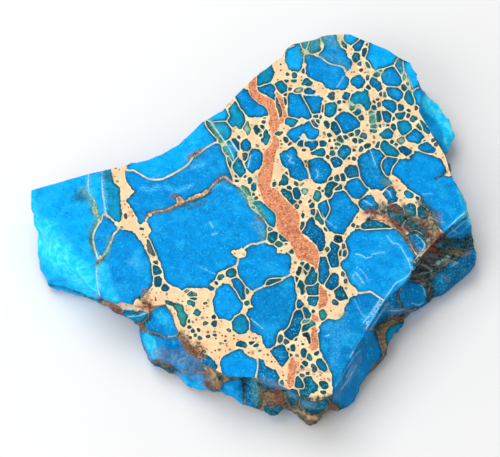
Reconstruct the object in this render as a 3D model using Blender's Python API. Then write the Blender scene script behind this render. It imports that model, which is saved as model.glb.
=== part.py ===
"""A raw turquoise slab: one stone, sawn flat above and below, with broken walls all round.

The stone is lofted. RIM is the edge of the upper sawn face, GIRDLE is the widest line round the
wall and the sole is a smaller sawn face that the slab lies on. Rays from HEART cross both lines
once, so every point of the wall is a radius at a bearing and a height. The walls then get their
ledges and lumps by strokes, as clay would, and the scoops and sharp ridges of a shell-like break.

Outlines are in millimetres, clockwise from the left corner, with +X right, +Y to the back and +Z up.
"""

import math

import bmesh
import bpy
from mathutils import Vector, geometry, noise

MM = 0.001
NAME = "turquoise_slab"

THICKNESS = 8.0  # from the sole to the upper sawn face
SOLE_INSET = 0.5  # least distance from the girdle in to the sole
SOLE_UNDERCUT = 0.45  # further inset for each millimetre that the girdle stands up
HEART = Vector((0.0, -2.0))
RAY_LENGTH = 60.0

STATIONS = 300  # points round the wall
WALL_ROWS = (0.0, 0.035, 0.12, 0.23, 0.35, 0.47, 0.58, 0.69, 0.8, 0.9, 1.0)  # share of the drop to the girdle
SOLE_ROWS = (0.5, 1.0)  # share of the drop from the girdle to the sole
SOLE_ROUNDING = 1.5  # above 1, the foot of the wall rounds under

RIM = [
    (-30.5, 3.2), (-26.3, 4.6), (-22.2, 5.9), (-17.2, 7.2), (-14.7, 8.0), (-12.8, 8.8), (-9.9, 10.7),
    (-8.9, 11.9), (-7.0, 14.1), (-3.9, 16.2), (-2.1, 18.7), (0.2, 21.2), (2.9, 23.7), (4.2, 24.7),
    (4.9, 26.0), (6.0, 27.0), (8.9, 27.7), (10.6, 28.4), (12.3, 28.7), (14.1, 28.7), (16.5, 27.4),
    (19.3, 26.2), (20.4, 25.2), (22.6, 23.9), (23.2, 22.2), (23.9, 18.9), (23.5, 15.8), (25.3, 12.0),
    (27.0, 8.5), (27.4, 6.6), (28.6, 2.6), (29.4, -0.4), (26.6, -3.0), (24.4, -5.5), (22.6, -7.7),
    (22.2, -9.0), (21.2, -10.4), (18.1, -13.4), (16.4, -16.6), (14.3, -20.1), (12.1, -24.2), (10.7, -27.6),
    (9.7, -28.3), (8.1, -28.6), (6.6, -28.1), (5.4, -27.1), (3.1, -26.1), (-0.2, -25.1), (-3.3, -25.0),
    (-5.6, -23.5), (-6.9, -22.9), (-9.1, -20.1), (-10.2, -17.5), (-10.6, -15.8), (-11.6, -14.3),
    (-13.5, -14.6), (-15.6, -14.6), (-17.5, -14.0), (-20.4, -13.2), (-22.2, -11.5), (-25.9, -6.7),
    (-27.9, -4.0), (-29.6, -1.3), (-30.4, 0.2),
]  # fmt: skip

GIRDLE = [  # x, y and height
    (-30.6, 3.6, 4.0), (-26.5, 5.6, 3.5), (-22.0, 7.4, 3.0), (-18.0, 8.3, 3.5), (-14.0, 9.2, 4.5),
    (-11.0, 11.2, 4.0), (-9.0, 13.6, 3.0), (-6.5, 15.9, 3.5), (-4.5, 17.4, 4.0), (-2.5, 20.2, 3.0),
    (0.0, 22.6, 3.5), (2.8, 25.0, 4.0), (5.0, 27.6, 3.5), (8.0, 28.8, 3.0), (11.5, 29.6, 3.5),
    (14.5, 29.8, 3.5), (17.0, 28.4, 4.0), (20.0, 26.8, 4.0), (22.8, 25.0, 3.6), (24.3, 22.2, 3.2),
    (25.1, 21.2, 3.1), (26.7, 20.1, 3.0), (28.3, 17.6, 3.0), (29.4, 15.4, 3.0), (28.7, 13.8, 3.0),
    (27.7, 12.1, 3.0), (27.9, 9.5, 3.0), (28.3, 7.0, 2.5), (29.0, 4.5, 2.0), (30.2, 2.4, 1.4),
    (30.6, 0.4, 1.0), (30.5, -1.4, 1.0), (30.9, -2.9, 1.0), (31.1, -4.4, 1.0), (30.0, -6.1, 1.0),
    (26.7, -9.0, 1.0), (24.6, -10.6, 1.0), (21.1, -13.0, 1.0), (19.7, -16.1, 1.0), (16.5, -21.0, 1.0),
    (14.5, -24.3, 1.0), (13.4, -25.6, 1.0), (11.1, -27.1, 1.0), (8.8, -28.4, 1.0), (7.5, -28.9, 1.0),
    (6.1, -27.5, 1.0), (5.1, -27.2, 1.0), (2.2, -27.1, 1.0), (0.2, -26.2, 1.0), (-1.9, -25.8, 1.0),
    (-4.3, -24.4, 1.0), (-7.6, -24.1, 1.0), (-9.7, -22.8, 1.0), (-11.5, -21.3, 1.0), (-12.8, -21.0, 1.0),
    (-14.3, -18.6, 1.0), (-15.2, -15.6, 1.0), (-15.3, -14.2, 1.0), (-17.9, -13.0, 1.0), (-19.8, -11.3, 1.0),
    (-22.4, -10.1, 1.0), (-25.7, -9.0, 1.0), (-28.2, -8.1, 1.0), (-29.3, -5.6, 1.0), (-30.0, -1.7, 1.2),
    (-30.7, 1.4, 2.0),
]  # fmt: skip

# How the wall runs out from the rim (0) to the girdle (1), by bearing in degrees from +X round by +Y.
PROFILES = [
    (0, "ledge"), (12, "slope"), (20, "slope"), (26, "flare"), (40, "flare"), (48, "slope"),
    (75, "bulge"), (95, "slope"), (120, "flare"), (140, "bulge"), (165, "slope"), (178, "slope"),
    (184, "scoop"), (203, "scoop"), (210, "slope"), (217, "bulge"), (236, "bulge"), (244, "ledge"),
    (254, "flare"), (262, "slope"), (272, "ledge"), (282, "bulge"), (290, "slope"), (300, "slope"),
    (312, "slope"), (322, "ledge"), (330, "bulge"), (338, "bulge"), (344, "ledge"),
]  # fmt: skip


def smoothstep(low, high, value):
    """Goes smoothly from 0 at low to 1 at high."""
    t = min(1.0, max(0.0, (value - low) / (high - low)))
    return t * t * (3 - 2 * t)


LEDGE_TOP, LEDGE_FOOT = 0.42, 0.66  # shares of the drop between which a ledge steps out
LEDGE_LEAN = 0.12  # share of the way out that a ledge's upright parts take

PROFILE_CURVES = {
    "slope": lambda drop: drop,
    "bulge": lambda drop: math.sin(0.5 * math.pi * drop) ** 0.8,
    "scoop": lambda drop: 1 - (1 - drop) ** 1.35,
    "flare": lambda drop: drop**1.7,
    "ledge": lambda drop: LEDGE_LEAN * drop + (1 - LEDGE_LEAN) * smoothstep(LEDGE_TOP, LEDGE_FOOT, drop),
}

# Strokes on the wall: both ends, how far the stroke reaches and how far it pushes out, or in below 0.
STROKES = [
    ((21.8, -10.0, 6.2), (24.0, -7.6, 4.9), 0.9, -1.5),  # long crack between the two layers at the right
    ((24.0, -7.6, 4.9), (27.2, -5.2, 4.6), 0.9, -1.7),
    ((27.2, -5.2, 4.6), (30.2, -2.6, 4.4), 0.9, -1.5),
    ((24.6, -6.6, 6.0), (26.8, -4.6, 6.0), 1.2, -0.5),  # crumbled hollow over the crack
    ((24.6, -9.4, 3.6), (29.2, -5.6, 3.2), 1.2, 0.4),  # lower layer's blunt edge
    ((22.0, -11.6, 3.8), (23.0, -10.8, 3.6), 1.2, 0.6),  # round lump at its near end
    ((24.6, -10.2, 3.6), (25.0, -10.2, 1.0), 0.6, -0.6),
    ((17.0, -16.6, 5.0), (20.8, -13.6, 2.2), 0.8, -1.2),  # short slanting crack, lower right
    ((18.8, -16.8, 2.8), (18.0, -18.0, 2.0), 1.5, 0.6),
    ((13.2, -24.6, 3.4), (11.8, -26.2, 2.2), 1.4, 0.5),
    ((8.6, -28.4, 2.4), (7.4, -28.6, 2.0), 1.2, 0.6),  # the front corner's knob
    ((6.2, -27.6, 5.0), (6.0, -27.6, 2.6), 0.8, -0.7),
    ((2.2, -26.8, 4.6), (4.4, -27.0, 4.8), 0.9, -0.9),  # pocket of loose matrix
    ((2.4, -27.0, 1.8), (3.4, -27.0, 1.8), 1.0, 0.6),
    ((-0.9, -25.0, 6.6), (-0.9, -25.6, 2.4), 0.7, -1.1),  # upright fold
    ((-2.6, -25.4, 4.0), (-3.2, -25.0, 2.4), 1.4, 0.6),
    ((-5.0, -24.2, 6.0), (-5.6, -24.0, 5.2), 0.9, 1.0),  # grey knob under the rim
    ((-8.6, -22.6, 3.2), (-6.4, -23.6, 3.2), 1.2, 0.5),
    ((-10.0, -20.8, 5.4), (-7.4, -22.6, 5.0), 1.0, -0.9),  # dirty ledge
    ((-12.6, -16.4, 6.2), (-13.4, -17.6, 5.0), 1.8, 0.8),  # the big lump at the front left
    ((-13.9, -17.6, 5.0), (-11.0, -18.8, 6.2), 0.7, -0.6),  # crease across it
    ((-13.2, -19.6, 3.4), (-11.6, -20.6, 3.2), 1.2, 0.4),
    ((-11.8, -14.8, 6.6), (-15.0, -14.6, 4.4), 0.8, -1.0),  # crack at its top
    ((-17.0, -13.8, 4.6), (-16.2, -14.0, 3.8), 1.0, 0.6),
    ((-21.6, -11.6, 1.6), (-18.4, -13.0, 1.6), 0.9, -0.5),
    ((-28.6, -3.6, 4.8), (-23.4, -9.4, 4.6), 2.4, -0.6),  # hollow of the pale shell-like break
    ((25.2, 18.6, 5.2), (26.4, 14.0, 5.2), 1.5, -0.8),  # step down to the thin lip at the back right
    ((28.2, 8.4, 5.6), (29.2, 3.0, 5.0), 1.6, 0.5),
    ((19.6, 27.0, 5.6), (23.2, 24.0, 5.6), 1.2, -0.6),
    ((10.2, 29.0, 2.6), (14.6, 29.6, 2.8), 1.4, 0.5),
    ((3.4, 25.6, 6.0), (8.4, 28.2, 5.4), 1.0, -0.7),
    ((-2.4, 20.0, 2.6), (-0.6, 22.0, 2.8), 1.6, 0.6),
    ((-8.6, 13.8, 5.4), (-5.4, 16.2, 5.0), 1.1, -0.7),
    ((-20.6, 7.8, 5.0), (-16.2, 8.6, 5.4), 1.3, 0.5),
    ((-27.6, 5.0, 2.4), (-24.0, 6.4, 2.2), 1.0, -0.6),
]  # fmt: skip

SMOOTH_BREAKS = [  # middles and reaches of the places where the stone broke cleanly
    ((-26.5, -6.0, 4.5), 6.0),
    ((14.5, -22.0, 4.5), 4.5),
]

SCOOPS = ((4.6, 2.4), (1.9, 1.0))  # width and depth of the shell-like scoops that the stone broke in
SCOOP_MEAN = 0.3  # mean squared distance to the middle of a scoop, in scoop widths
RIDGE_TOP = 0.2  # the ridges between scoops stand no higher than this
GRAIN_SIZE, GRAIN_HEIGHT = 0.8, 0.10
CALM = 0.8  # share of the relief that a clean break lacks
RELIEF_START = 0.15  # share of the drop over which the relief comes in below the rim
SOLE_RELIEF = 0.4  # share of the relief left at the edge of the sole
RIM_WAVE, RIM_CHIP = 1.7, 0.16  # length and depth of the small bites out of the rim
SHARP_DEGREES = 24.0  # edges that turn more than this are shaded sharp


def crossing(bearing, outline):
    """Where the ray from HEART at this bearing first leaves the outline, with any heights blended."""
    end = HEART + RAY_LENGTH * Vector((math.cos(bearing), math.sin(bearing)))
    for a, b in zip(outline, outline[1:] + outline[:1]):
        hit = geometry.intersect_line_line_2d(HEART, end, Vector(a[:2]), Vector(b[:2]))
        if hit:
            share = (hit - Vector(a[:2])).length / (Vector(b[:2]) - Vector(a[:2])).length
            return [p + share * (q - p) for p, q in zip(a, b)]
    raise ValueError(f"no crossing at {math.degrees(bearing):.1f} degrees")


def rim_bearings():
    """Bearings that divide the rim into STATIONS steps of about equal length."""
    corners = [Vector(p) for p in RIM + RIM[:1]]
    lengths = [(b - a).length for a, b in zip(corners, corners[1:])]
    step = sum(lengths) / STATIONS
    bearings = []
    walked = 0.0
    for a, b, length in zip(corners, corners[1:], lengths):
        while walked < length and len(bearings) < STATIONS:
            spoke = a.lerp(b, walked / length) - HEART
            bearings.append(math.atan2(spoke.y, spoke.x))
            walked += step
        walked -= length
    return bearings


def profile(bearing, drop):
    """Share of the way out from the rim to the girdle, at this bearing and share of the drop."""
    degrees = math.degrees(bearing) % 360
    knots = PROFILES + [(PROFILES[0][0] + 360, PROFILES[0][1])]
    for (low, first), (high, second) in zip(knots, knots[1:]):
        if low <= degrees <= high:
            blend = smoothstep(low, high, degrees)
            return (1 - blend) * PROFILE_CURVES[first](drop) + blend * PROFILE_CURVES[second](drop)
    raise ValueError(f"no profile at {degrees:.1f} degrees")


def nearness(point, start, end, reach):
    """1 on the line from start to end, fading smoothly to 0 over about twice the reach."""
    nearest, share = geometry.intersect_point_line(point, Vector(start), Vector(end))
    if not 0 < share < 1:
        nearest = Vector(start if share <= 0 else end)
    return math.exp(-(((point - nearest).length / reach) ** 2))


def stroke_push(point):
    """Outward push of all the strokes at a point of the wall."""
    return sum(push * nearness(point, start, end, reach) for start, end, reach, push in STROKES)


def scoop_relief(point):
    """Height of the broken surface: hollow scoops that meet in sharp ridges, with a fine grain."""
    calm = max(math.exp(-(((point - Vector(middle)).length / reach) ** 2)) for middle, reach in SMOOTH_BREAKS)
    height = GRAIN_HEIGHT * noise.noise(point / GRAIN_SIZE)
    for width, depth in SCOOPS:
        squared = noise.voronoi(point / width, distance_metric="DISTANCE_SQUARED")[0][0]
        height += depth * (squared - SCOOP_MEAN)
    return min(height, RIDGE_TOP) * (1 - CALM * calm)


def wall_column(bearing):
    """The points down the wall at one bearing, from the rim to the sole."""
    outward = Vector((math.cos(bearing), math.sin(bearing), 0.0))
    heart = Vector((*HEART, 0.0))
    rim_x, rim_y = crossing(bearing, RIM)
    girdle_x, girdle_y, girdle_z = crossing(bearing, GIRDLE)
    rim_radius = (Vector((rim_x, rim_y)) - HEART).length
    girdle_radius = (Vector((girdle_x, girdle_y)) - HEART).length
    sole_radius = girdle_radius - SOLE_INSET - SOLE_UNDERCUT * girdle_z
    rim_radius -= RIM_CHIP * abs(noise.noise(Vector((rim_x, rim_y, THICKNESS)) / RIM_WAVE))

    def placed(radius, height, roughness):
        point = heart + radius * outward + Vector((0.0, 0.0, height))
        return point + outward * roughness * (stroke_push(point) + scoop_relief(point))

    column = []
    for drop in WALL_ROWS:
        radius = rim_radius + (girdle_radius - rim_radius) * profile(bearing, drop)
        height = THICKNESS + (girdle_z - THICKNESS) * drop
        column.append(placed(radius, height, smoothstep(0.0, RELIEF_START, drop)))
    for drop in SOLE_ROWS:
        radius = girdle_radius + (sole_radius - girdle_radius) * drop**SOLE_ROUNDING
        column.append(placed(radius, girdle_z * (1 - drop), 1.0 if drop < 1 else SOLE_RELIEF))
    return column


def slab_mesh():
    """The whole stone as one closed mesh, in metres, its box centred over the origin."""
    columns = [wall_column(bearing) for bearing in rim_bearings()]
    points = [point for column in columns for point in column]
    middle = [(min(p[axis] for p in points) + max(p[axis] for p in points)) / 2 for axis in (0, 1)]
    offset = Vector((*middle, 0.0))

    form = bmesh.new()
    rings = []
    for row in zip(*columns):
        verts = [form.verts.new((point - offset) * MM) for point in row]
        rings.append([form.edges.new(pair) for pair in zip(verts, verts[1:] + verts[:1])])
    for upper, lower in zip(rings, rings[1:]):
        bmesh.ops.bridge_loops(form, edges=upper + lower)
    for end in (rings[0], rings[-1]):
        bmesh.ops.contextual_create(form, geom=end)
    bmesh.ops.triangulate(form, faces=form.faces)
    bmesh.ops.recalc_face_normals(form, faces=form.faces)
    mesh = bpy.data.meshes.new(NAME)
    form.to_mesh(mesh)
    form.free()
    return mesh


def turquoise():
    """Sawn turquoise: a saturated blue stone with a dull wax lustre."""
    material = bpy.data.materials.new("turquoise")
    material.use_nodes = True
    shader = material.node_tree.nodes["Principled BSDF"]
    shader.inputs["Base Color"].default_value = (0.01, 0.27, 0.68, 1.0)
    shader.inputs["Roughness"].default_value = 0.45
    shader.inputs["Metallic"].default_value = 0.0
    return material


def main():
    """Clears the scene and builds the slab."""
    for old in list(bpy.data.objects):
        bpy.data.objects.remove(old, do_unlink=True)
    mesh = slab_mesh()
    mesh.materials.append(turquoise())
    mesh.shade_smooth()
    mesh.set_sharp_from_angle(angle=math.radians(SHARP_DEGREES))
    bpy.context.scene.collection.objects.link(bpy.data.objects.new(NAME, mesh))


main()
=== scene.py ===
"""The look of a raw turquoise slab: blue nodules set in a cream matrix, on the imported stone's own form.

The upper sawn face is meshed afresh, finely enough to carry the outline of every nodule as a distance
field: positive inside a nodule, negative in the matrix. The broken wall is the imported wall, divided and
roughened. What the camera sees of it has nodules of its own; on the rest, the face's pattern turns over
the rim and runs down it. One material reads those fields.

Outlines are drawn in the camera's frame, 500 across and 457 down from its upper left corner, and are
laid on the stone through the camera. In their rows, a point's across and down are written together.
Every other length is in millimetres until the mesh is made.
"""

import logging
import math
from dataclasses import dataclass, field
from enum import Enum
from functools import cached_property

import bmesh
import bpy
import numpy as np
from mathutils import Matrix, Vector, noise
from mathutils.geometry import delaunay_2d_cdt


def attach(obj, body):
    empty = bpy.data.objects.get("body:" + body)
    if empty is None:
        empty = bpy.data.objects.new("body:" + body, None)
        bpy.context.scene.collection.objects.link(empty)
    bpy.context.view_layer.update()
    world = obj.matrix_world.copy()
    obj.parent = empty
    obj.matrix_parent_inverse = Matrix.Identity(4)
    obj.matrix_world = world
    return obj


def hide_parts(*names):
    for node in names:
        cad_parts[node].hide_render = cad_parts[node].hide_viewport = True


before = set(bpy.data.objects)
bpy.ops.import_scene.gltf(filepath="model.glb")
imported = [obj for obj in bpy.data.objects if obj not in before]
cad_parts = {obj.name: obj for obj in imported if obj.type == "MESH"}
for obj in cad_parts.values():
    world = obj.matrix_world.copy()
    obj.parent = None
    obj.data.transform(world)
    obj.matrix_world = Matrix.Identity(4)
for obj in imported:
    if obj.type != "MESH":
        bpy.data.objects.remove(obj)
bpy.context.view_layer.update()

logging.basicConfig(level=logging.INFO, format="%(message)s")
log = logging.getLogger("turquoise_slab")

MM = 0.001
NODE = "turquoise_slab"
THICKNESS = 8.0  # height of the upper sawn face
HEART = (-0.208, -2.366)  # the middle that the stone is star-shaped about
FLUSH = 1e-3  # a point this close to a sawn face lies on it
TINY = 1e-9  # stands in for a length of nothing in a division
THREAD_FADE = 1.9  # a chalk stroke that fades out wider than this is a bruise, with no line of its own; the lines include painted highlights along the rim edges

Outline = tuple[float, ...]  # across and down of one point after another
Oval = tuple[float, ...]  # middle across and down, half width, half height, and its turn where it has one


class Tone(Enum):
    """What a nodule is made of, with its core's display colour."""

    SKY = (0, 166, 240)
    AZURE = (0, 139, 213)
    BLUE = (0, 124, 192)
    NAVY = (6, 98, 152)
    TEAL = (8, 138, 182)
    DEEP = (18, 98, 124)
    SLATE = (72, 116, 138)
    GREEN = (48, 146, 132)
    MOSS = (46, 86, 76)
    PALE = (138, 200, 170)
    OLIVE = (112, 120, 84)
    INK = (28, 46, 46)
    UMBER = (106, 74, 50)


NODULES: dict[Tone, dict[str, Outline]] = {
    Tone.SKY: {
        "west end": (26,188, 46,182, 80,173, 88,170, 87,184, 88,194, 93,200, 91,210, 97,221, 92,233, 91,240,
          93,248, 94,256, 97,261, 95,268, 94,275, 97,290, 98,301, 90,297, 74,277, 58,257, 44,241, 32,223,
          26,211),
        "north west bank": (129,170, 129,160, 146,155, 160,150, 181,138, 194,124, 202,116, 206,127, 214,136,
          218,139, 215,141, 203,147.5, 199,151, 191,155.5, 187,163, 172,172.5, 167,174.5, 162,177.5,
          149,177.5, 138,171.5, 133,168.5),
        "stem west": (89,176, 93,169, 101,167, 101,195, 103,202, 104,212, 101,222, 99,214, 95,200, 90,192),
        "notch rim": (207,114, 214,108, 222,105, 226,112, 228,116, 225,120, 212,121, 207,119),
        "north corner": (285,53, 290.5,48, 299.5,44, 303.5,57, 301.5,62.5, 301,67, 298,72, 291,69.5,
          288,66.5),
        "crest": (344.5,38.5, 345,31, 351,29, 358,31, 358.5,38.5, 353.5,44, 346.5,42),
        "north east pool": (369,45, 369,38, 375,38, 381,43, 385,44, 399,53, 396,58, 391,65, 378,69, 372.5,67,
          366.5,57),
        "north east rim": (405,54, 412,57, 417,70, 421,84, 414,90.5, 411.5,87, 410,80, 404,69),
        "east shoulder": (413,92, 418,86, 426,92, 436,99, 422,106, 417,104, 414.5,99),
    },
    Tone.AZURE: {
        "stem west foot": (102,214, 106,217, 115,226, 116,230, 112,233, 110,240, 104,251, 100,255, 97,252,
          95,235, 101,222),
        "middle lobe": (246,250, 252,245, 257,246, 262,244, 275,247, 277,253, 286,254, 290,257, 291,266,
          286,275.5, 269,279, 262,286, 256,288, 250,289, 243,282, 239.5,275, 238.5,268, 240,260, 244,256),
        "south cell": (213,300, 216,294, 218,289, 224,284, 228,285, 235,291, 242,305, 238.5,312.5, 234,315,
          231,319, 225,320, 218,316, 214,308),
        "south middle": (254.5,294, 251,300.5, 253.5,307, 248,310.5, 247,314, 250.5,320.5, 251,329,
          256.5,334.5, 261,336, 264.5,345, 268,348, 275,343, 277.5,333.5, 280.5,329.5, 284.5,329.5,
          289,325.5, 290.5,320.5, 294.5,309, 296,296, 296,292, 294,288.5, 294.5,282, 291.5,276.5, 275,283,
          262,288),
        "north middle": (289,94.5, 293,93.5, 302,96, 304.5,101, 307.5,105.5, 311.5,114.5, 308.5,118,
          304.5,118, 301.5,116.5, 297,117.5, 289,114.5, 288.5,105, 288,100),
        "north bay": (321.5,38, 326.5,33, 336,30, 336.5,39, 340.5,48, 344.5,49, 348,58, 351.5,61.5, 351.5,65,
          349.5,69, 346.5,69.5, 344.5,66.5, 334,64.5, 327.5,62, 322.5,58, 318,55, 320,51, 324.5,49,
          324.5,42.5),
        "north pool": (304.5,56, 318.5,57, 324,60.5, 329.5,64, 341,67, 344.5,75, 347.5,77.5, 348,82.5,
          346.5,87.5, 340.5,89.5, 327,87.5, 323,84, 308.5,75.5, 306.5,70.5, 307,65),
        "heart blue": (288,133, 291,130, 306,123.5, 310.5,122, 313,126, 318.5,131, 318.5,134.5, 313,140,
          309,139, 305,134.5, 302,133.5, 298,140, 295,142, 288.5,136),
        "east pool": (357,229.5, 349,235.5, 346,244, 348,248, 347,257.5, 341.5,264, 346.5,273, 350.5,282,
          358.5,290.5, 367,291, 370,290, 382,298, 389,301, 400,290, 411,280, 418,270, 420,262, 415,255,
          406,240, 400,233, 392,229, 372,230, 364,231),
        "crescent mate": (382,73, 384,69.5, 392,67, 397,71, 401,79, 398,85.5, 390,86, 383,81),
        "crescent rim": (396,66, 399,58, 399.5,53, 403,53.5, 402.5,61, 403,71, 402.5,75, 400.5,74),
        "north shelf": (302.5,96, 307.5,96, 320,96.5, 322.5,99, 321,102, 321,108, 318.5,112.5, 312,114,
          308.5,107.5, 304.5,100),
        "west middle": (126,173, 131,171, 138,174, 150,180.5, 164,180, 186,168, 193,160, 198,157, 207,149,
          212,146, 217,144, 221,149, 231,171, 233,180, 229,177.5, 223.4,174, 215,179.5, 208,187, 200,192.5,
          189,196.5, 184,199, 180,196.5, 176,197, 176,202, 172.5,204.5, 165,208, 154,209.5, 147,213.5,
          144,220, 141,223, 138,222, 136,216, 129,204, 127,200, 131,195, 135,192, 130,187, 127,181),
        "great pool": (150,218, 148,221, 151,231, 149,236, 154,250, 158,256, 163,268, 165,277, 168,282,
          176,287, 184,289, 188,287, 204,288, 210,290, 213,288, 209,284, 217,276, 218,272, 233,265, 236,262,
          235,257, 231,251, 238,249, 250,243, 256,242, 266,238, 267,232, 265,222, 255,213, 248,206, 247,200,
          241,190, 232,184.5, 228,181.5, 223.5,179, 216,185, 210,192, 202,197.5, 190.5,201.5, 181,205.5,
          174.5,208.5, 166,212.5, 155,214.2),
        "south west cup": (113,240, 117,233, 121,230, 132,232, 141,242, 144,250, 148,257, 152,270, 151,286,
          141,297, 135,300, 130,310, 122,307, 112,306, 103,302, 100,292, 99,280, 99,268, 102,261, 106,256,
          111,246),
        "rim bead": (221,364, 221,360, 226,355, 234,351, 241,350.5, 247,355.5, 253,358.5, 257,363, 257,369,
          254,375, 251,380, 243,384, 232,385, 224,377),
        "east field": (392,172, 395,165.5, 401,159.5, 406,159.5, 411,155.5, 416,151.5, 433,156.5, 441,160,
          445.5,168, 446.5,171, 444,174.5, 448,176, 456,177, 464,190, 472,206, 468,216, 455,228, 447,233,
          441,229, 436,221, 430,212, 423,203, 417,194, 411,190.5, 396,176),
    },
    Tone.BLUE: {
        "wheel": (340,114, 343,112.5, 350,114, 359,123, 356,129, 348,133, 344.5,133, 342,130, 337.5,122.5,
          335,119.5),
        "blue bud": (246.5,166, 246,162, 248.5,158, 250,153, 252.5,150, 257,149, 262.5,154, 261.5,165,
          254,172, 250.5,171.5),
        "blue leaf": (280.5,153, 290,149, 292.5,147.5, 295.5,149, 296.5,153, 303.5,164.5, 307.5,174,
          306.5,178.5, 299,179.5, 289,174.5, 289.5,168.5, 284,166, 281,161.5),
        "blue block": (307.5,162, 310,160.5, 320,158, 326,162.5, 331.5,169.5, 328,178, 322,182.5, 315.5,182,
          312.5,179, 309,169),
        "blue saddle": (328.5,202, 331,199.5, 335.5,193, 343,191.5, 349,197, 350.5,201, 356.5,206, 358.5,210,
          356.5,214, 347.5,226, 342,234, 329,229.5, 325.5,221.5, 330,213, 331,208.5),
        "hex east": (345,187.5, 349,181.5, 357,178, 366,187, 368,189, 361,197.5, 353.5,198, 347,190),
        "great leaf": (358.5,160, 360,156.5, 371,150, 375,149.5, 379,150.5, 384,156.5, 381.5,160, 380,165,
          381.5,170.5, 387,178.5, 391.5,183.5, 381,189.5, 377,189, 367,187, 364,183, 359.5,173),
        "leaf twin": (384,160, 390,157, 397,159.5, 392,167, 391,171, 388.5,174.5, 386,174.5, 382,166.5),
        "top blue": (354,44, 358,41, 362.5,39.5, 364,41.5, 359,50, 356,50.5, 353.5,47),
        "east bud": (388,87.5, 396,87.5, 401.5,92, 402,96, 398,100, 390,96, 387,92),
        "east bud low": (383,103, 384.5,101, 392,101, 396.5,106, 396,109.5, 393.5,111.5, 390.5,111, 384,106),
        "east eye": (406.5,137, 409,133.5, 415.5,129.5, 423,136, 424,138.5, 421.5,142, 418,143, 409,141),
        "east slug": (419,148, 421,144, 425,142.5, 429,144, 432,147, 435,149, 433,151.5, 428,152.5,
          423,151.5),
        "saddle wing": (318.5,208, 320,204, 326,201, 329,208, 326,216.5, 324,218, 321.5,215),
        "below heart": (304,142.5, 308,142, 313,140.5, 318.5,143.5, 313.5,149.5, 311,149.5, 308.5,146.5,
          304.5,145.5),
        "south cap": (232.5,279.5, 239.5,279.5, 243.5,284, 244.5,288, 244,298.5, 240.5,298.5, 237,291,
          234,287),
        "upper stair": (257,87.5, 261,86.5, 270,84, 274.5,87.5, 273.5,93.5, 275,98.5, 274.5,101, 272,99,
          259,91),
        "upper pool": (246,89, 240,89, 235,95, 237.5,98.5, 238,103, 247,114.5, 250.5,117, 254.5,116.5,
          263,117, 268.5,112, 263.5,105, 255,100, 250,92),
        "streaked": (359.5,205, 361,199.5, 370,195, 373,197, 375,200.5, 378,203, 379,206, 377,209.5, 369,212,
          365,211),
        "south east field": (320.5,325.5, 327,320, 331,319.5, 335,320.5, 342,317, 344,314, 344,309,
          346,305.5, 349,303, 352.5,296.5, 356,297, 361,294.5, 370,293, 374,295.5, 384,302, 390,306, 380,320,
          360,352, 340,390, 333,404, 333,390, 332,375, 328,363.5, 322,353, 318,338),
        "rim bit": (427,114, 431,119, 436,128, 433,129, 428,121),
    },
    Tone.NAVY: {
        "blue kite": (309.5,218.5, 312,219, 315.5,225, 322.5,231.5, 325,241, 321.5,250, 319.5,250.5,
          318,247.5, 315,242, 311,239.5, 303.5,233, 302,231.5, 305.5,226.5),
        "blue strip": (319,258, 325.5,257.5, 327,261.5, 328.5,266, 328,271, 328.5,275.5, 323,283.5, 318,279,
          319,265),
        "low blue": (300,310, 293.5,312.5, 292.5,317, 289,326.5, 285,332.5, 287.5,339.5, 296,336.5,
          300.5,326, 300,322.5, 303,318, 303,314),
        "south seed": (271.5,350.5, 280,345.5, 284,346.5, 288,355, 287,360.5, 283,366.5, 278.5,364.5,
          273.5,356.5),
        "well": (326,283.5, 333.5,273, 338.5,277.5, 336.5,286, 329,289),
        "rim toe": (196,354, 200,353, 211,358, 216,365, 214,373, 202,371, 194,366, 193,359),
        "north east tooth": (372,78, 375,78.5, 381,86, 379,90.5, 376.5,88.5, 370,84.5),
        "east anvil": (382.5,112, 388,112, 391.5,117, 388,123, 385.5,121.5, 382.5,115),
        "wheel guard": (332,123, 336,121.5, 340.5,131, 338.5,132.5, 336.5,134, 332,129),
        "stout oval": (340,149, 345,145.5, 350,149, 349.5,153, 344.5,159.5, 338.5,155.5),
        "stout round": (331.5,160, 334,157, 340,158, 342,161.5, 341,165, 335,167),
        "hex north": (345,170, 349.5,165.5, 357,167, 359,174.5, 356.5,177, 349.5,177.5, 346.5,175.5),
        "mottled round": (384,193, 388,187.5, 391,187, 396.5,192.5, 396,196, 397.5,198, 395.5,201, 389,203,
          387.5,199.5, 384.5,197),
        "east plate": (399.5,148, 406,147.5, 411.5,152, 406.5,155, 399.5,150.5),
        "long well": (330,245, 333,242.5, 338.5,247, 337,254.5, 338,264, 336,266.5, 332.5,266.5, 330,263.5,
          328,255.5, 331.5,249.5),
        "heart twin": (293,191, 294.5,188.5, 297,188.5, 299.5,191, 300.5,195, 299,198.5, 296.5,199.5,
          294.5,198),
        "notch bead": (235,139.5, 238,142, 239,146, 237.5,150.5, 231,142, 231.5,139.5),
        "crevice teal": (408,237, 412,231, 418,232, 424,238, 427,246, 419,254, 414,248),
        "rim shell": (259,361, 263,360.5, 266,366, 271,369, 276,371, 279,378, 281,386, 270,388, 262,383,
          258,375),
    },
    Tone.TEAL: {
        "notch wedge": (213,123, 221,122, 226,123, 231,131, 226,140, 214,127),
        "notch leaf": (228,141, 232,141, 237,149, 234,161, 226,154, 223,149, 227,146),
        "notch drop": (236,160, 238.5,158.5, 241,162, 244.5,170, 243.5,174, 239,176, 233,167),
        "pool outrider": (253,203, 260,202, 265,204, 274,212, 276,217, 274,226, 267,223, 261,213),
        "upper left": (229,109.5, 236,102, 239,109.5, 242.5,112.5, 244.5,121.5, 242.5,126, 239,128,
          235.5,125.5, 232,126, 229,122.5, 228.5,119, 231,116),
        "north saddle": (284.5,120.5, 287,118.5, 295.5,119.5, 296,123, 293,126, 289,125, 285.5,124),
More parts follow.
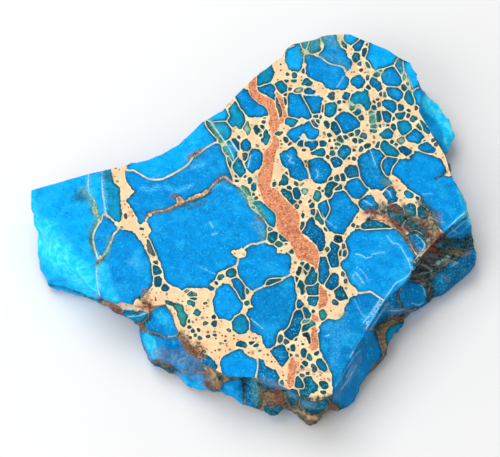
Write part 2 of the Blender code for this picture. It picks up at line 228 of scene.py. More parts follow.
        "north chip": (309.5,42.5, 315,37, 319.5,36, 319.5,46.5, 321.5,50.5, 317.5,53.5, 308.5,50.5),
        "north east wing": (350,98.5, 356.5,92.5, 361.5,92.5, 365,90, 367.5,92, 370,103.5, 370,108,
          366,109.5, 364,105.5, 359.5,103, 354.5,103.5),
        "teal post": (326,104.5, 334,103, 336,107.5, 334,114, 329.5,116.5, 325,114.5),
        "east lamp": (400,121.5, 408,122.5, 411.5,129.5, 404,134.5, 401.5,133, 397.5,126.5),
        "east drop": (380,135, 388.5,129, 392.5,134, 391,137, 386.5,138),
        "east bean": (380,147, 381,143.5, 384,141.5, 387,142.5, 395,148.5, 398.5,152, 397,155.5, 393.5,157,
          386,154),
        "east pear": (406.5,92, 409,91, 411.5,93.5, 414.5,101, 410,104.5, 405,99),
        "east cup": (396,114.5, 402,113.5, 404.5,112.5, 402,118.5, 399,118.5),
        "under heart": (312.5,152.5, 318,149.5, 322,149, 324.5,151, 324,154.5, 321,156, 313,154),
        "heart cap": (311,121.5, 314,120, 316.5,123, 317.5,127, 313.5,126.5),
        "low teal": (302.5,309, 305.5,307.5, 310,314, 309,318, 305.5,318),
        "foot blade": (317,359.5, 320,359, 326,366.5, 325,371.5, 322,370.5, 317,363.5),
        "upper slope": (275.5,84, 281.5,81.5, 286.5,88.5, 282.5,93.5, 277,87),
        "north step": (257,74, 264.5,67, 270,62, 274,71.5, 273.5,76, 268.5,82.5, 263.5,84, 259.5,86,
          256.5,83),
        "rim dark": (301.5,45.5, 303,40, 308,39, 307,46.5, 303.5,48),
        "rim strand": (420,121, 423,123, 429.5,132, 427,132.5, 423.5,129.5),
        "stem edge": (103,166, 109,164, 113,181, 117,185, 120,192, 121,216, 119,221, 115,219, 112,216,
          108,213.5, 105.5,206, 105,196, 103.5,188, 102,175),
    },
    Tone.DEEP: {
        "salmon foot": (312.5,267, 318,273.5, 316,282.5, 312,285, 307,284.5, 305,281.5, 309,274.5),
        "foot oval": (295,380.5, 298,376.5, 300,379.5, 303,382.5, 304.5,386, 303,388.5, 298,387, 295,384),
        "stem tooth": (153,265, 158,267, 161,272, 157,275, 153,274),
        "second low": (305,288.5, 308,286, 313.5,285.5, 316.5,283, 319,284, 318,295, 310,295, 307.5,291.5),
        "stem pebble": (155,278, 159,276, 161,282, 160,286, 156,286),
        "pool corner": (268,233, 277,233, 276,239, 272,243, 268,239),
        "dark wedge": (279,235, 284,237, 289,240, 287,242, 282,241),
        "middle cap": (269,279, 281,279, 282,281, 276,283, 270,286, 266,285),
        "notch sliver": (206,121, 209,122, 221,138, 221.5,142, 217,139, 207,126),
        "low sliver": (228,155, 231,162, 231,170, 238,181, 234,180, 230,172, 227,163),
        "salmon spill": (299,281, 303.5,284, 305,291, 300.5,294, 297.5,289),
        "low shards": (312,320, 315.5,324.5, 310,327, 302.5,332, 303.5,325.5, 308,323),
        "third low": (309,297, 318,296, 317.5,300.5, 316,305, 309.5,304),
        "foot ridge": (303.5,379, 308,376.5, 312,379.5, 317,387, 315,391.5, 311,393.5, 306.5,397, 301.5,396,
          299.5,390, 303.5,388.5, 304.5,384),
        "foot eye": (320.5,381.5, 325,381, 327.5,384.5, 326.5,388.5, 323.5,388.5, 320.5,384.5),
        "south cross": (237,342, 240,341, 244,342, 247,345, 246,347, 237,345),
        "well low": (335,292, 340,287.5, 343,289, 347,296.5, 345,299, 338.5,299.5),
        "comma": (325.5,188, 331,182, 338,184.5, 333,188.5, 331,196, 326,195),
        "comma twin": (335,189, 340,185, 341.5,187, 340.5,189.5, 337,190),
        "heart west": (281,191, 284,189.5, 291,192, 293,199, 297,201, 292,204, 283.5,195.5),
        "upper gate": (266,130.5, 268.5,134, 269.5,139, 266,145.5, 262,139.5),
        "post wing": (323,119.5, 325,118, 329,124, 328.5,127, 326.5,127.5),
        "red shore": (362,228, 367,219.5, 371,219, 382,222.5, 391,228, 384,228),
        "crevice blue": (417,209, 421,206.5, 426,208, 429,213, 426,217, 420,216),
        "dark quad": (279.5,184.5, 283,176, 286,176.5, 287.5,184, 281,184.5),
        "north lozenge": (302.5,84, 304.5,79.5, 308.5,80, 311.5,84, 307,85),
        "crevice shoal": (405.5,206, 411,203.5, 415.5,207, 416,213, 410,217.5, 405.5,213),
        "crevice pool": (406,222, 411,219.5, 420,220, 427,227, 427,234, 417,230, 409,230, 405,227),
    },
    Tone.SLATE: {
        "foot chip": (312,365, 315.5,367, 316,370.5, 313.5,372),
    },
    Tone.GREEN: {
        "green rib": (317.5,209.5, 320,216, 323.5,222.5, 322,224, 316.5,218),
        "green fish": (242,186.5, 244.5,186, 247.5,189, 250.5,195, 245,191),
        "green rim": (416,122, 418.5,121.5, 422,128.5, 420,129.5, 417,126),
        "green bead": (315,193.5, 318,190.5, 320.5,193, 320,197.5, 317,200.5, 314,198.5),
        "low lamp": (322.5,309, 325.5,312, 326,316, 323,320, 320,317, 319.5,312),
        "blob thread": (165,300.5, 178,303.5, 183,307.5, 187.5,319, 185,325, 181,325, 177,313, 173,307,
          168,304),
    },
    Tone.MOSS: {
        "crevice moss": (388,208, 393,204.5, 399,206, 404,213, 403,222, 398,226, 392,221, 388.5,215),
    },
    Tone.PALE: {
        "upper bridge": (247.5,122.5, 249.5,130, 248,134.5, 246,132, 244,127.5),
    },
    Tone.OLIVE: {
        "upper thread": (275.5,98.5, 277.5,99, 281.5,109, 281,117, 279,114, 276.5,103.5),
        "kite shore": (300.5,225, 302.5,222, 304,226, 301.5,230.5),
        "stem olive": (148,240, 151,243, 155,254, 151,254, 148,248),
    },
    Tone.INK: {
        "black shard": (303,333, 306.5,333, 310.5,336, 311,342, 309.5,343, 306.5,337.5, 303.5,336),
    },
}

BEADS: dict[Tone, tuple[Oval, ...]] = {
    Tone.BLUE: (
        (246,145.5, 4.8,6.4, 15), (357.8,81.5, 6,5.9), (254,187, 2.4,3.4), (309.5,91.5, 5,2.6, 5),
    ),
    Tone.NAVY: (
        (400.4,107.6, 2.6,3.2), (301,143.6, 3,2.4, 20), (299.6,304.2, 3.2,3.8), (373.5,131, 3,1.6, 10),
        (346.3,96, 3.3,3.3), (322.5,143.5, 2.8,3), (165,288, 3.1,3.1),
    ),
    Tone.TEAL: (
        (240.6,325.3, 7.2,9.2), (356.5,111.7, 3.5,3), (254,207, 1.6,1.2), (318,236, 1,1),
        (408.5,194.5, 4.8,3.3, 15), (374,126.3, 3,2.2), (339,102, 1.4,1),
    ),
    Tone.DEEP: (
        (231,273, 4.5,4), (261,127.5, 3,2.2), (258,129.5, 3.6,4.2), (365,52, 2.3,4.1, 20),
        (356.2,57.5, 3.4,4.4), (378.6,116, 2.4,5.2), (373.5,108, 2.5,2.4), (404.3,87.5, 2.3,2.9),
        (393.5,127, 2.3,2.4), (351.5,134, 3.4,1.6, -12), (345,137, 2.4,1.9), (378,145, 1.6,3.2, 20),
        (316,116, 2.4,1.5), (317.3,121.3, 2,1.7, 20), (306.3,267, 2.6,3.8, -20), (293,348, 2,3),
        (305,363.7, 2,2.2), (303.7,353, 2.8,4, -10), (343,177.5, 2.2,3.5), (255.5,345, 2.2,1.2),
        (292.5,394, 6,5, 20),
    ),
    Tone.SLATE: (
        (331,96, 3,3.4), (245.3,156, 2,4), (363.5,136, 3.2,3), (360.8,140.5, 2.2,2), (335,303, 3,2.4, 30),
        (345.3,253, 1.9,3.2, 10), (280.3,339, 2.3,4), (286.4,341, 2.4,2.8), (372.6,118.5, 2.6,4.8),
        (299.5,290, 2.2,3.2),
    ),
    Tone.GREEN: (
        (279,244, 3.5,2.4), (220,277, 2.8,2.3), (247,290.5, 1.4,2.8), (247,303, 1.5,1.8),
        (357,132.5, 2.8,2.9), (340.5,139.5, 3,3.2), (337.8,144, 2.2,1.8), (371.5,112.5, 2.3,2),
        (332.3,153.5, 2.3,2.6), (337,178.5, 2.6,2.5), (413.7,119, 3,2.6), (303,264, 2.2,1.6),
        (278.8,133.2, 4,2, -22), (197,313, 3.6,3.3), (191,303, 4,2.2, 30), (384.5,94, 1.4,2.2),
        (353,109, 3.6,1.8, 30), (377,74.5, 3.4,2, -30), (381,71, 2.4,1.4), (368,64.5, 1.6,3.2, -30),
        (395.5,144.5, 1.6,1.2), (292,251, 2,2), (327.5,249.2, 1.5,1.8), (309.2,356.7, 2,3.3, -20),
        (294.2,80.6, 1.7,1.3), (294.6,75, 1.8,3.4, 10), (254.5,252.6, 0.7,0.7),
    ),
    Tone.PALE: (
        (305,191, 3.2,3), (401,140.5, 3.3,2.8), (324.5,119.3, 2,1.6), (187,291, 2,1.5),
        (192,294.3, 4.6,2.2, 10), (280,383, 3,3.2), (306,321.3, 4.2,1.5, -20), (298,90.3, 4.2,2, -20),
        (269.3,229.4, 1.9,2), (404,76, 1.5,3.2),
    ),
    Tone.MOSS: (
        (312,205, 2,2.2, 20), (313,212, 2,2.3), (303,215.6, 1.1,2.8, 10), (284.5,101.5, 2,3.6),
        (286,140.2, 1.8,2.6, -30), (274,184, 1.4,2.2, 30), (250.2,180.5, 1.5,2.8, 20), (235,177, 2.2,2.6),
        (289,188, 2.4,1.5, 15), (367,145.6, 3,1.7, -25), (354.5,140.5, 2.4,1.8, 15), (361.3,117.8, 2.4,1.9),
        (387,124.8, 1.8,1.2), (392,142.5, 1.5,1.5), (329.3,135, 2,1.2, 15), (330.5,178.5, 2.2,1.4, -30),
        (423,140.5, 1.9,1.4, -20), (305,271.5, 1.2,3, -30), (214.5,324, 2.2,2.8), (193,298.3, 2.6,1.1),
        (368.7,87, 1.8,1.9), (417.5,122.5, 1.8,1.3), (344,45.3, 1.4,3.4, -25), (285,94.5, 1.3,1.3),
        (245.2,254.5, 1.4,3, 20), (302.5,344, 0.9,0.9), (418.5,197.5, 2,1.6), (340.2,252.5, 0.9,2.7, 10),
    ),
    Tone.OLIVE: (
        (156,263, 1.8,1.4), (296.5,206, 1.4,2.5, -25), (296,183.5, 2.1,1, 35), (361,149, 2,1.8, -20),
        (343.8,246.5, 1.2,2.5, 10), (343,274, 1,2.2, -20), (378.7,104.5, 1.3,2), (407.4,84.3, 1.2,1.2),
        (433,140, 2,1.3, 30), (436,144.4, 1.3,1.8, -30), (359.5,63.5, 1.2,2, -20), (317,54, 0.8,1.2),
        (205,323, 2,2), (228,330, 1.8,1.5), (200,338, 1.8,1.1), (302,366.7, 1.2,1.2), (367.5,77.7, 1,2),
        (318.5,330.5, 0.9,1.2), (302.5,375.6, 2.2,1.3, 10),
    ),
    Tone.INK: (
        (338.1,238.6, 3.9,3.6), (216.3,283, 1,1), (313,311, 1,1), (299,271, 1.7,4.2, 20),
        (296.5,279.5, 0.8,2.8, -10), (252,343, 2.6,0.9), (316.6,353, 1.5,0.9, -40), (188,321, 1.2,1.8),
        (214,317, 1.5,1.6), (307.8,373.7, 1.2,1.1), (323.6,392.5, 2.2,1.5), (261,135, 0.8,2.6, -45),
        (322.7,108.8, 0.7,3.4), (301,51.5, 0.6,0.9), (313.6,246.6, 2.6,0.8, 28), (410,158.7, 1.7,0.9),
    ),
    Tone.UMBER: (
        (310,201.6, 0.8,1.4), (300,202, 1,1.1), (319.3,188.5, 1.2,1.3), (322.8,191, 0.8,0.8),
        (306,161.5, 0.9,1), (306.6,165.5, 0.8,1), (354,158.2, 0.9,1.5), (354,150, 0.9,0.9),
        (348.3,158, 1.1,0.7, -40), (353.5,225.3, 1.5,1, 15), (357.5,226.5, 1.2,0.9, -20),
        (345.6,281, 0.9,2.3), (325.6,229, 0.7,1.6, -40), (361.3,70.3, 1.1,1), (367.3,44, 0.9,1.1),
        (126.3,216, 0.9,1.9), (142,229, 1.9,1.4), (286,243, 1,1), (205,303, 1.4,1), (189,327, 1.4,0.9),
        (193,331, 1.1,1.1), (199,330, 1.3,1.3), (195,335.5, 1,1), (190,337.5, 1.4,1.1), (208,336.5, 1.2,1.2),
        (215,335, 1.4,1), (225,341, 1,1), (204,352, 1.4,1), (408.5,110.4, 1.2,0.8), (408.2,115.6, 1,1.5, 20),
        (416.3,108, 0.9,1.8, 20), (381.4,94, 1.2,1.6), (377,100, 1.3,1.3), (374.7,101.6, 1,1),
        (383.8,124.6, 1.1,0.9), (379.9,125.4, 1,1), (320.5,117.2, 1,1), (287,74, 1,1), (281,64.5, 1,1),
        (286.5,81, 1.3,0.8), (290,89, 1,1), (303.2,71, 1,1.4), (253.5,194.6, 0.9,0.8),
        (256,198, 0.7,1.3, 20), (336,147.7, 0.9,0.9), (334.4,140.3, 0.8,0.8), (329.6,140.4, 0.8,0.8),
        (328,156.6, 0.9,0.9), (332,148, 0.9,0.8), (296,339, 1,1), (288,349, 0.9,0.9), (291,355, 1,1),
        (287.4,173.4, 1.4,0.9, 25), (289.6,143.6, 0.8,0.8), (304,150.4, 1.2,0.7), (339.7,109.6, 1.1,1),
        (344,102, 0.8,0.8), (393,118.6, 0.8,1.3, 20), (245,176.5, 0.8,0.8), (264,117.6, 1,1), (239,137, 1,1),
        (413.6,153.6, 0.7,0.7), (271.4,163.4, 0.9,1.2, -30), (263.5,122, 1.1,1.1),
    ),
}

WALL_NODULES: dict[Tone, dict[str, Outline]] = {
    Tone.SKY: {
        "west bevel": (10,170, 60,170, 98,214, 93,228, 91,243, 97,264, 93,274, 93,292, 97,298, 95,312,
          60,310, 10,300),
        "west wedge": (98.5,280, 122,285, 121,299, 118.5,303, 112,303, 104,299.5, 98.5,296),
        "east wing": (412,84, 420,82, 430,91, 444,101, 456,113, 466,130, 460,143, 447,158, 442,151, 436,143,
          416,122, 410,110),
    },
    Tone.AZURE: {
        "east face": (452,176, 456,180, 464,200, 470,214, 463,217.5, 458,205, 450,188),
        "lump foot": (166,374, 175,372.5, 188,373, 198,373, 203,375, 205,381, 208,387, 214,390, 221,388.5,
          223.5,383, 230,380, 238,379, 242.5,381, 244,388, 243.5,402, 242,412, 225,405, 200,400, 180,396,
          166,380),
        "lower right": (329,396, 334,384, 343,364, 354,345, 364,329, 371,331, 377.5,337, 381,354, 377,364,
          371,372.5, 366,382, 372,390, 350,414, 341,413, 336,406, 330,402),
        "east facet": (442,235.5, 450,228, 456,222, 463,217, 468,212, 474,220, 476,236, 466,239, 458,239.5),
    },
    Tone.BLUE: {
        "round lump": (399,296, 402,288, 408,281.5, 415,281, 421,284, 426,290, 428,297, 427,306, 416,309,
          406,309, 400,303),
        "lump top": (152,311, 158,306.5, 164.7,304, 170,307, 174,314, 178.8,325, 181,335, 176,337, 167.5,337,
          160,334, 152,331, 146.4,328, 144.5,322, 148,316),
        "lump low": (138,331, 143,331, 150,333.5, 157,336, 167,338.5, 180,338.5, 184,343, 188,349, 193,353,
          198,358, 201,365, 203,371, 192,371.5, 180,371, 170,373, 160,376, 148,370, 138,352),
    },
    Tone.NAVY: {
        "under rim": (364,320, 374,304, 398,285, 405,280, 400,289, 397.5,297, 398.5,304, 403,309.5, 401,313,
          394,314, 386,319, 379,325, 372,327),
        "east lobe": (430.5,285, 433,277, 450,262.5, 458,257.5, 466,249, 474,247, 482,258, 478,276, 455,296,
          436,312, 433,302, 433.5,294),
        "east step": (451,240.5, 458,241.5, 466,241, 474,239, 476,245, 464,249.5, 450.5,245),
        "mid shell": (246,377, 253,379.5, 258,382, 261.5,386, 261,393, 259.5,400, 256,412, 247,412,
          246.5,400, 245.8,388),
        "rim shell side": (258,376, 268,379, 278,382.5, 286.5,386.5, 284,390, 277,389.5, 268,388.5, 262,385),
    },
    Tone.TEAL: {
        "lens": (120.5,315, 131,310, 137,313, 140.5,311, 149.5,316.5, 145,320.5, 139,322, 133,326),
        "ledge lump": (386,333, 391,325.5, 407,321, 414,326, 404,346, 390,362, 386,352, 387.5,346, 386,340),
    },
    Tone.DEEP: {
        "low lens": (264.5,408, 268,404.5, 275,404, 281,405.5, 283,409.5, 279,418, 266,418),
        "toe lens": (300,401, 304,398.5, 310,400.5, 316,400.5, 324,399, 329.5,401.5, 327,407, 319,413,
          311,413, 304.5,409),
    },
    Tone.SLATE: {
        "crevice eye": (437.5,243.5, 440.5,241.5, 444,243, 444.5,247, 441,249, 438,247),
        "blue grey": (285.5,391, 288,388.5, 293,388.5, 297,391.5, 299,397, 297.5,403, 293,405.5, 288.5,401),
    },
}

SALMON: dict[str, Outline] = {
    "band": (252,74, 248.5,84.5, 250.5,94.5, 258.5,102.5, 263.5,105, 267.5,109, 270,118, 268.5,123,
      272.5,138, 271.5,143, 265,151, 263.5,155, 263,165, 257.5,176, 259,187, 265,203, 276,214, 277,229,
      288,240, 293,248, 298,259, 304,260, 314,266, 316.5,272, 319,255, 314.5,245, 305,237.5, 299,228,
      299,214, 285,199, 277,190, 270,186, 272,178, 275,155, 279,146, 278.5,140, 276,136, 273.5,134,
      278.5,126, 277.5,121, 278,116.5, 275.5,108, 275,103, 271,99, 257.5,91, 256,74),
    "branch": (275.5,91.5, 282.5,97.5, 283.5,102.5, 287,114.5, 284.5,118, 284,122.5, 280,123.5, 279.5,126,
      277,128, 279,120, 282.5,116, 282.5,109),
    "wall tan": (104,302, 112,304.5, 119,307, 121.5,312, 121,319, 112,314),
    "toe chip": (328.5,407, 334,406, 338,409, 335,414, 329.5,413),
    "ledge": (384,327, 391,322.5, 400,318.5, 410,318.5, 408,320.5, 399,321.5, 391,324.5, 386,329),
    "upper chip": (320,284.5, 327.5,295, 327.5,301.5, 325.5,306, 319.5,308.5, 318.5,304.5, 319.5,298),
    "small chip": (312,314, 316,315, 319,319, 317,322, 313,320),
    "middle chip": (313.5,326.5, 316.5,328, 317,334.5, 318.5,344, 317.5,348.5, 312.5,350.5, 309,346.5,
      312,342, 311,336),
    "lower chip": (292.5,356.5, 295,361, 299.5,362, 298.5,366.5, 295.5,370.5, 293.5,385.5, 288,386,
      287.5,376.5, 289,369, 287.5,367),
}


class Mark(Enum):
    """Stains and seams that lie over the nodules and the matrix alike, with painted highlights and painted
    shade among them.
    """

    CHALK_AND_HIGHLIGHT = "chalk_and_highlight"  # pale healed seams and bruises, and painted highlights along the rim edges
    RUST = "rust"
    SOOT_AND_SHADE = "soot_and_shade"  # the dark green-grey dirt of the crevice, partly painted shade: in the crevice, under ledges and lumps and along the wall's foot
    UMBER = "umber"
    VERDIGRIS = "verdigris"  # teal that has bled into the matrix
    FRESH_BREAK_AND_HIGHLIGHT = "rind"  # the bright pale blue of a fresh shell-like break, partly painted light: brightness where light falls on the west bevel, the east wing and the blue lumps, and painted highlights along rim edges
    HAZE = "haze"  # a grey bloom on weathered blue
    BARE = "bare"  # where the wall's matrix is as clean as the sawn face's


@dataclass(frozen=True)
class Stroke:
    """One brush mark: a line through points of the camera's frame, or a dab at a single one."""

    points: Outline
    width: float  # all of it at full strength
    fade: float  # beyond the width, to nothing
    strength: float

    @property
    def has_thread(self) -> bool:
        """Whether a fine line runs along the middle of the mark."""
        return len(self.points) > 2 and self.fade <= THREAD_FADE


def strokes(*rows: tuple[float, ...]) -> tuple[Stroke, ...]:
    """Brush marks, each from a row of its width, fade and strength and then its points."""
    return tuple(Stroke(tuple(points), width, fade, strength) for width, fade, strength, *points in rows)


STROKES: dict[Mark, tuple[Stroke, ...]] = {
    # chalk: pale healed seams and bruises, and painted highlights, the thin bright lines along the rim edges
    Mark.CHALK_AND_HIGHLIGHT: strokes(
        (0.3, 1.2, 0.4, 422,274, 444,256), (0.2, 1.2, 0.25, 336,386, 352,360, 360,350),
        (0.6, 1.6, 0.4, 390,311, 406,309.5), (0.3, 1.2, 0.4, 420,285, 424,290, 426,296),
        (0.3, 1.2, 0.35, 412,303, 418,305, 423,303), (0.3, 1.4, 0.25, 448,268, 458,263),
        (0.3, 1.6, 0.35, 452,229, 458,233, 463,231), (0.3, 1, 0.4, 168,336.5, 176,336),
        (0.5, 1, 0.5, 123,309.5, 134,309.5), (0.3, 1.2, 0.4, 370.5,151, 376,166),
        (0.3, 1.2, 0.35, 344,76, 337,87),
        (0.4, 1.8, 0.45, 387,236, 393,243, 400,246, 411,268, 405,278, 396,283, 388,294, 385,298),
        (0.4, 1.6, 0.4, 407,258, 413,260, 417,264, 416,270), (0.4, 1.6, 0.6, 250.5,156, 248,167),
        (0.5, 1.4, 0.5, 364,200.5, 371,205), (0.2, 1.3, 0.5, 356,254, 361,255, 366,258, 370,257),
        (0.2, 1.2, 0.4, 373,254, 384,252), (0.3, 1.4, 0.4, 355,272, 364,283),
        (0.2, 1.2, 0.3, 352,276, 361,287), (0.2, 1.2, 0.3, 357,267, 363,272, 369,280),
        (0.2, 1, 0.4, 210,222, 213,228), (0.2, 1, 0.4, 212,235, 217,233), (0.2, 1, 0.3, 198,266, 215,274),
        (0.2, 1.4, 0.45, 384,300, 376,312, 367,327), (0.2, 1.2, 0.4, 380,299, 372,311, 364,322),
        (0.2, 1.2, 0.35, 388,303, 379,316, 371,329), (0.2, 1.2, 0.2, 354,298.5, 359,309, 365,319.5),
        (0.3, 1.8, 0.4, 356,366, 350,377, 342,389), (0.3, 1.4, 0.3, 352,366, 346,377),
        (0.3, 1.6, 0.5, 467,211, 456,220, 443,234), (0.2, 1.2, 0.25, 470,216, 458,226, 447,236),
        (0.2, 1, 0.2, 472,223, 460,232, 450,238), (0.9, 2.2, 0.8, 102,172, 103,186, 105,198, 105,212),
        (1.2, 2, 0.85, 88,170, 88,184, 90,195), (0.2, 1, 0.4, 416,276, 432,265, 447,254, 459,246),
        (0.2, 1, 0.35, 420,279, 436,268, 451,258), (0.2, 1, 0.3, 419,272, 434,260),
        (0.2, 1, 0.25, 422,194, 433,193.5), (0.2, 1, 0.25, 430,216, 438,221, 446,223),
        (0.5, 1.4, 0.7, 128,317, 137,316, 145,313.5), (0.2, 1, 0.4, 251,319, 257,324, 262,328),
        (0.8, 1.4, 0.7, 96,252, 97.5,259), (0.9, 2.2, 0.8, 97.5,268, 98,282, 97,296),
        (1.5, 5, 0.45, 131,262), (0.5, 2.8, 0.6, 142,188, 150,190, 158,187),
        (0.5, 2.4, 0.5, 148,179, 158,177), (0.5, 2.8, 0.5, 166,187, 172,190),
        (0.6, 3, 0.6, 178,191, 192,185), (0.5, 3, 0.55, 214,187, 222,183, 230,188),
        (0.6, 3, 0.6, 192,167, 204,164), (1.2, 3, 0.45, 135,259, 137,265),
        (0.2, 1.4, 0.5, 209,119, 229,148, 234,160), (0.5, 1.4, 0.7, 232,143, 237,151),
        (0.4, 1.2, 0.7, 300,137, 302,138.5, 305,138, 312,141),
        (0.4, 1.4, 0.45, 288,156, 291,158, 289,161, 293,163), (0.6, 1.8, 0.4, 316,170, 318,173, 317,177),
        (0.4, 1, 0.7, 306,95, 317,95.5), (0.4, 1.4, 0.25, 404,66, 404.5,71, 408,76, 413,88),
        (0.1, 1.2, 0.3, 322,213, 325,219, 336,228), (0.5, 1.4, 0.5, 386,190, 389,192, 391,196),
        (0.3, 1.6, 0.6, 416,234, 425,245, 417,257), (0.7, 1, 1, 392.5,215), (0.6, 1, 0.9, 422.5,216.5),
        (0.6, 1, 0.5, 326,336, 329,335), (1, 1.6, 0.5, 353,352, 351,357),
        (2, 5, 0.3, 328,326, 337,340, 335,355, 332,363), (2, 7, 0.25, 340,322, 346,334),
    ),
    Mark.RUST: strokes(
        (0.9, 2.2, 0.9, 364,213, 372,212, 380,214, 388,218, 396,224),
        (0.6, 1.8, 0.7, 391,204, 394,209, 398,212), (0.4, 1.6, 0.4, 400,208, 408,214, 412,220),
        (0.8, 2.4, 0.6, 404,226, 410,230), (1.2, 1.8, 0.95, 432,247, 435,252, 437,256),
        (0.8, 2.2, 0.7, 441,236, 436,240), (1, 3.4, 0.6, 276,389, 278,395, 279,403),
        (1.6, 3.6, 0.35, 112,306, 119,312), (1, 2.2, 0.55, 196,370, 204,372, 209,370),
        (0.8, 2.6, 0.4, 330,405, 334,409), (0.6, 1.8, 0.6, 422,264, 426,266),
        (0.4, 1.4, 0.6, 371,216.5, 387,222.5, 394,227), (0.9, 1.8, 0.8, 390,206, 393,208, 396,207),
        (0.9, 2.2, 0.8, 441,234, 433,242, 437,254), (1, 2.2, 0.4, 405,230, 399,231),
        (0.6, 2.6, 0.6, 184,343, 193,351, 199,352), (1.2, 2, 0.9, 148,303, 151,307, 150,311),
        (0.8, 2, 0.7, 422,223, 429,233, 433,242, 436,250), (1, 3, 0.5, 137,306, 151,309),
        (0.6, 1.8, 0.6, 257,217, 263,221), (0.6, 1, 0.7, 253,353),
        (0.6, 2.6, 0.4, 309,370, 301,369, 296,372), (1.2, 1.8, 0.4, 367,327.5),
        (1.2, 2.4, 0.5, 383,216, 391,220, 398,228), (1, 2.6, 0.35, 386,183, 395,188),
    ),
    # dark dirt, partly painted shade: the dark recessed crevice, under the ledges and lumps, and along the
    # wall's foot
    Mark.SOOT_AND_SHADE: strokes(
        (4, 4, 0.75, 384,209, 397,214, 410,219, 420,226, 428,234),
        (1.4, 2.5, 0.75, 394,222, 402,230, 408,240), (1.5, 2.5, 0.75, 428,242, 434,248),
        (1.6, 3.4, 0.7, 420,203, 426,208, 432,216, 438,226), (1.4, 2.6, 0.7, 367,208, 376,208, 384,206),
        (4, 3.6, 0.85, 415,274, 423,270, 441,256, 449,252), (2.6, 2.6, 0.9, 425,273, 428,280, 429,288),
        (1.6, 3, 0.8, 452,248, 463,253), (2, 3, 0.8, 444,244, 450,247, 452,256),
        (1.2, 1.4, 1, 412,276.5, 416,275), (1, 2.4, 0.9, 468.5,235, 468,243),
        (0.8, 1.8, 0.95, 376,328.5, 392,318.5, 399,315.5, 404,316.5), (0.3, 1.2, 0.5, 376,331, 383,346),
        (0.8, 1.6, 0.9, 241.5,378.5, 244.5,385, 244,399), (0.7, 1.4, 0.85, 264,387, 269,388.5, 273,391.5),
        (0.6, 2, 0.5, 222,378, 240,377.5), (1.6, 3.6, 0.5, 206,374, 221,384),
        (0.8, 1.8, 0.7, 180,336, 181,331), (0.4, 1.2, 0.6, 150,333, 160,337, 180,338),
        (0.6, 1.8, 0.75, 137,323, 143,324, 149,320), (0.5, 1.6, 0.6, 123,318, 128,322, 136,324),
        (0.4, 1.8, 0.6, 46,283, 98,299.5, 112,304), (1, 3, 0.25, 48,280, 58,279.5, 66,282),
        (2, 4, 0.4, 262,396, 268,400), (1, 2.6, 0.55, 283,400, 289,405, 298,408),
        (0.5, 1.8, 0.6, 306,400, 328,398), (1, 3, 0.5, 330,398, 336,404, 344,407),
        (0.6, 3, 0.45, 160,366, 180,371), (1, 5, 0.2, 352,352, 362,344, 372,344),
        (1.4, 2.6, 0.7, 368,220, 377,213, 386,209, 400,220),
        (0.8, 1.8, 0.7, 404,204, 405,218, 417,217, 428,219), (2, 3, 0.7, 424,222, 434,228, 438,226),
        (3.5, 3, 0.8, 424,236, 434,240, 442,236), (0.8, 1.4, 0.95, 445,240, 458,240.5, 470,239),
        (1.6, 2, 0.95, 440,250, 452,249.5, 466,246, 474,243),
        (2.6, 2.6, 0.9, 430,262, 438,268, 432,282, 430,296, 433,310),
        (4.5, 3, 0.9, 418,262, 424,268, 432,268), (0.6, 1.4, 0.7, 398,288, 399,300, 404,309),
        (1.4, 2.2, 0.8, 141,298, 146,303), (2.2, 3, 0.85, 155,364, 163,366.5, 171,368.5),
        (1.2, 3, 0.75, 185,340, 190,347, 196,352), (0.6, 1.6, 0.55, 174,209, 190,202, 203,198, 211,192),
        (1.2, 2, 0.8, 217,376, 222,380), (0.3, 1.4, 0.5, 208,376, 211,380, 209,384),
        (0.8, 2, 0.5, 304,418, 308,423, 317,423), (0.8, 1.6, 0.75, 258,383, 263,388, 262,398, 259,408),
        (0.6, 1.4, 0.85, 262,389.5, 275,392, 284,392), (0.8, 1.8, 0.8, 300,398, 316,398.5, 330,396),
        (0.6, 1.4, 0.8, 301,410, 310,414, 321,413.5), (1.4, 2.6, 0.6, 422,199, 431,209, 437,213),
        (1.5, 7.5, 0.5, 77,196, 84,197), (0.5, 1.6, 0.45, 96,222, 91,232, 91,244, 95,254),
        (0.5, 1.6, 0.5, 105,257, 98,263), (3, 3, 0.35, 269,411, 279,411),
        (1.2, 3, 0.5, 298,414, 304,421, 312,425), (4, 8, 0.2, 446,264, 462,266),
        (1.2, 3, 0.5, 283,396, 284,402, 290,408), (2.5, 4, 0.4, 104,174, 110,177),
        (0.8, 2.6, 0.45, 180,204, 190,207, 204,203), (1, 3, 0.4, 217,181, 223,180, 229,184),
        (1, 3, 0.5, 308,163, 311,168), (0.6, 1.8, 0.7, 436,177.5, 441,176, 446,172),
        (1.4, 3, 0.4, 349,169, 353,168), (0.6, 1.4, 0.6, 361,199, 366,198),
        (1.6, 3, 0.6, 416,264, 427,254, 434,250), (2, 3, 0.65, 392,219, 404,226, 414,232),
        (2, 3, 0.5, 424,212, 434,222),
    ),
    Mark.UMBER: strokes(
        (0.8, 2, 0.6, 398,228, 404,234, 412,244, 418,254, 418,262),
        (1, 2.4, 0.55, 412,247, 420,252, 427,247), (0.8, 2.4, 0.6, 428,224, 434,230, 438,234),
        (0.5, 2, 0.5, 430,213, 436,216, 440,214), (1.8, 3, 0.9, 180,335, 184,342, 190,350, 197,352),
        (1.2, 2.4, 0.8, 198,343, 203,349), (2, 3.6, 0.55, 106,304, 120,317), (2, 2.4, 0.8, 139,325, 143,329),
        (1.2, 1.4, 0.8, 385,326, 401,318.5, 408,319), (1, 2.4, 0.6, 377,363, 372,370),
        (0.6, 2, 0.35, 380,333, 384,352), (0.8, 2, 0.7, 427,262, 424,268),
        (0.8, 2.2, 0.7, 456,252, 463,254.5, 469,253), (0.8, 2.4, 0.45, 444,277, 448,280),
        (3, 4, 0.5, 262,392, 268,396, 272,402), (2.5, 4, 0.45, 206,384, 213,387),
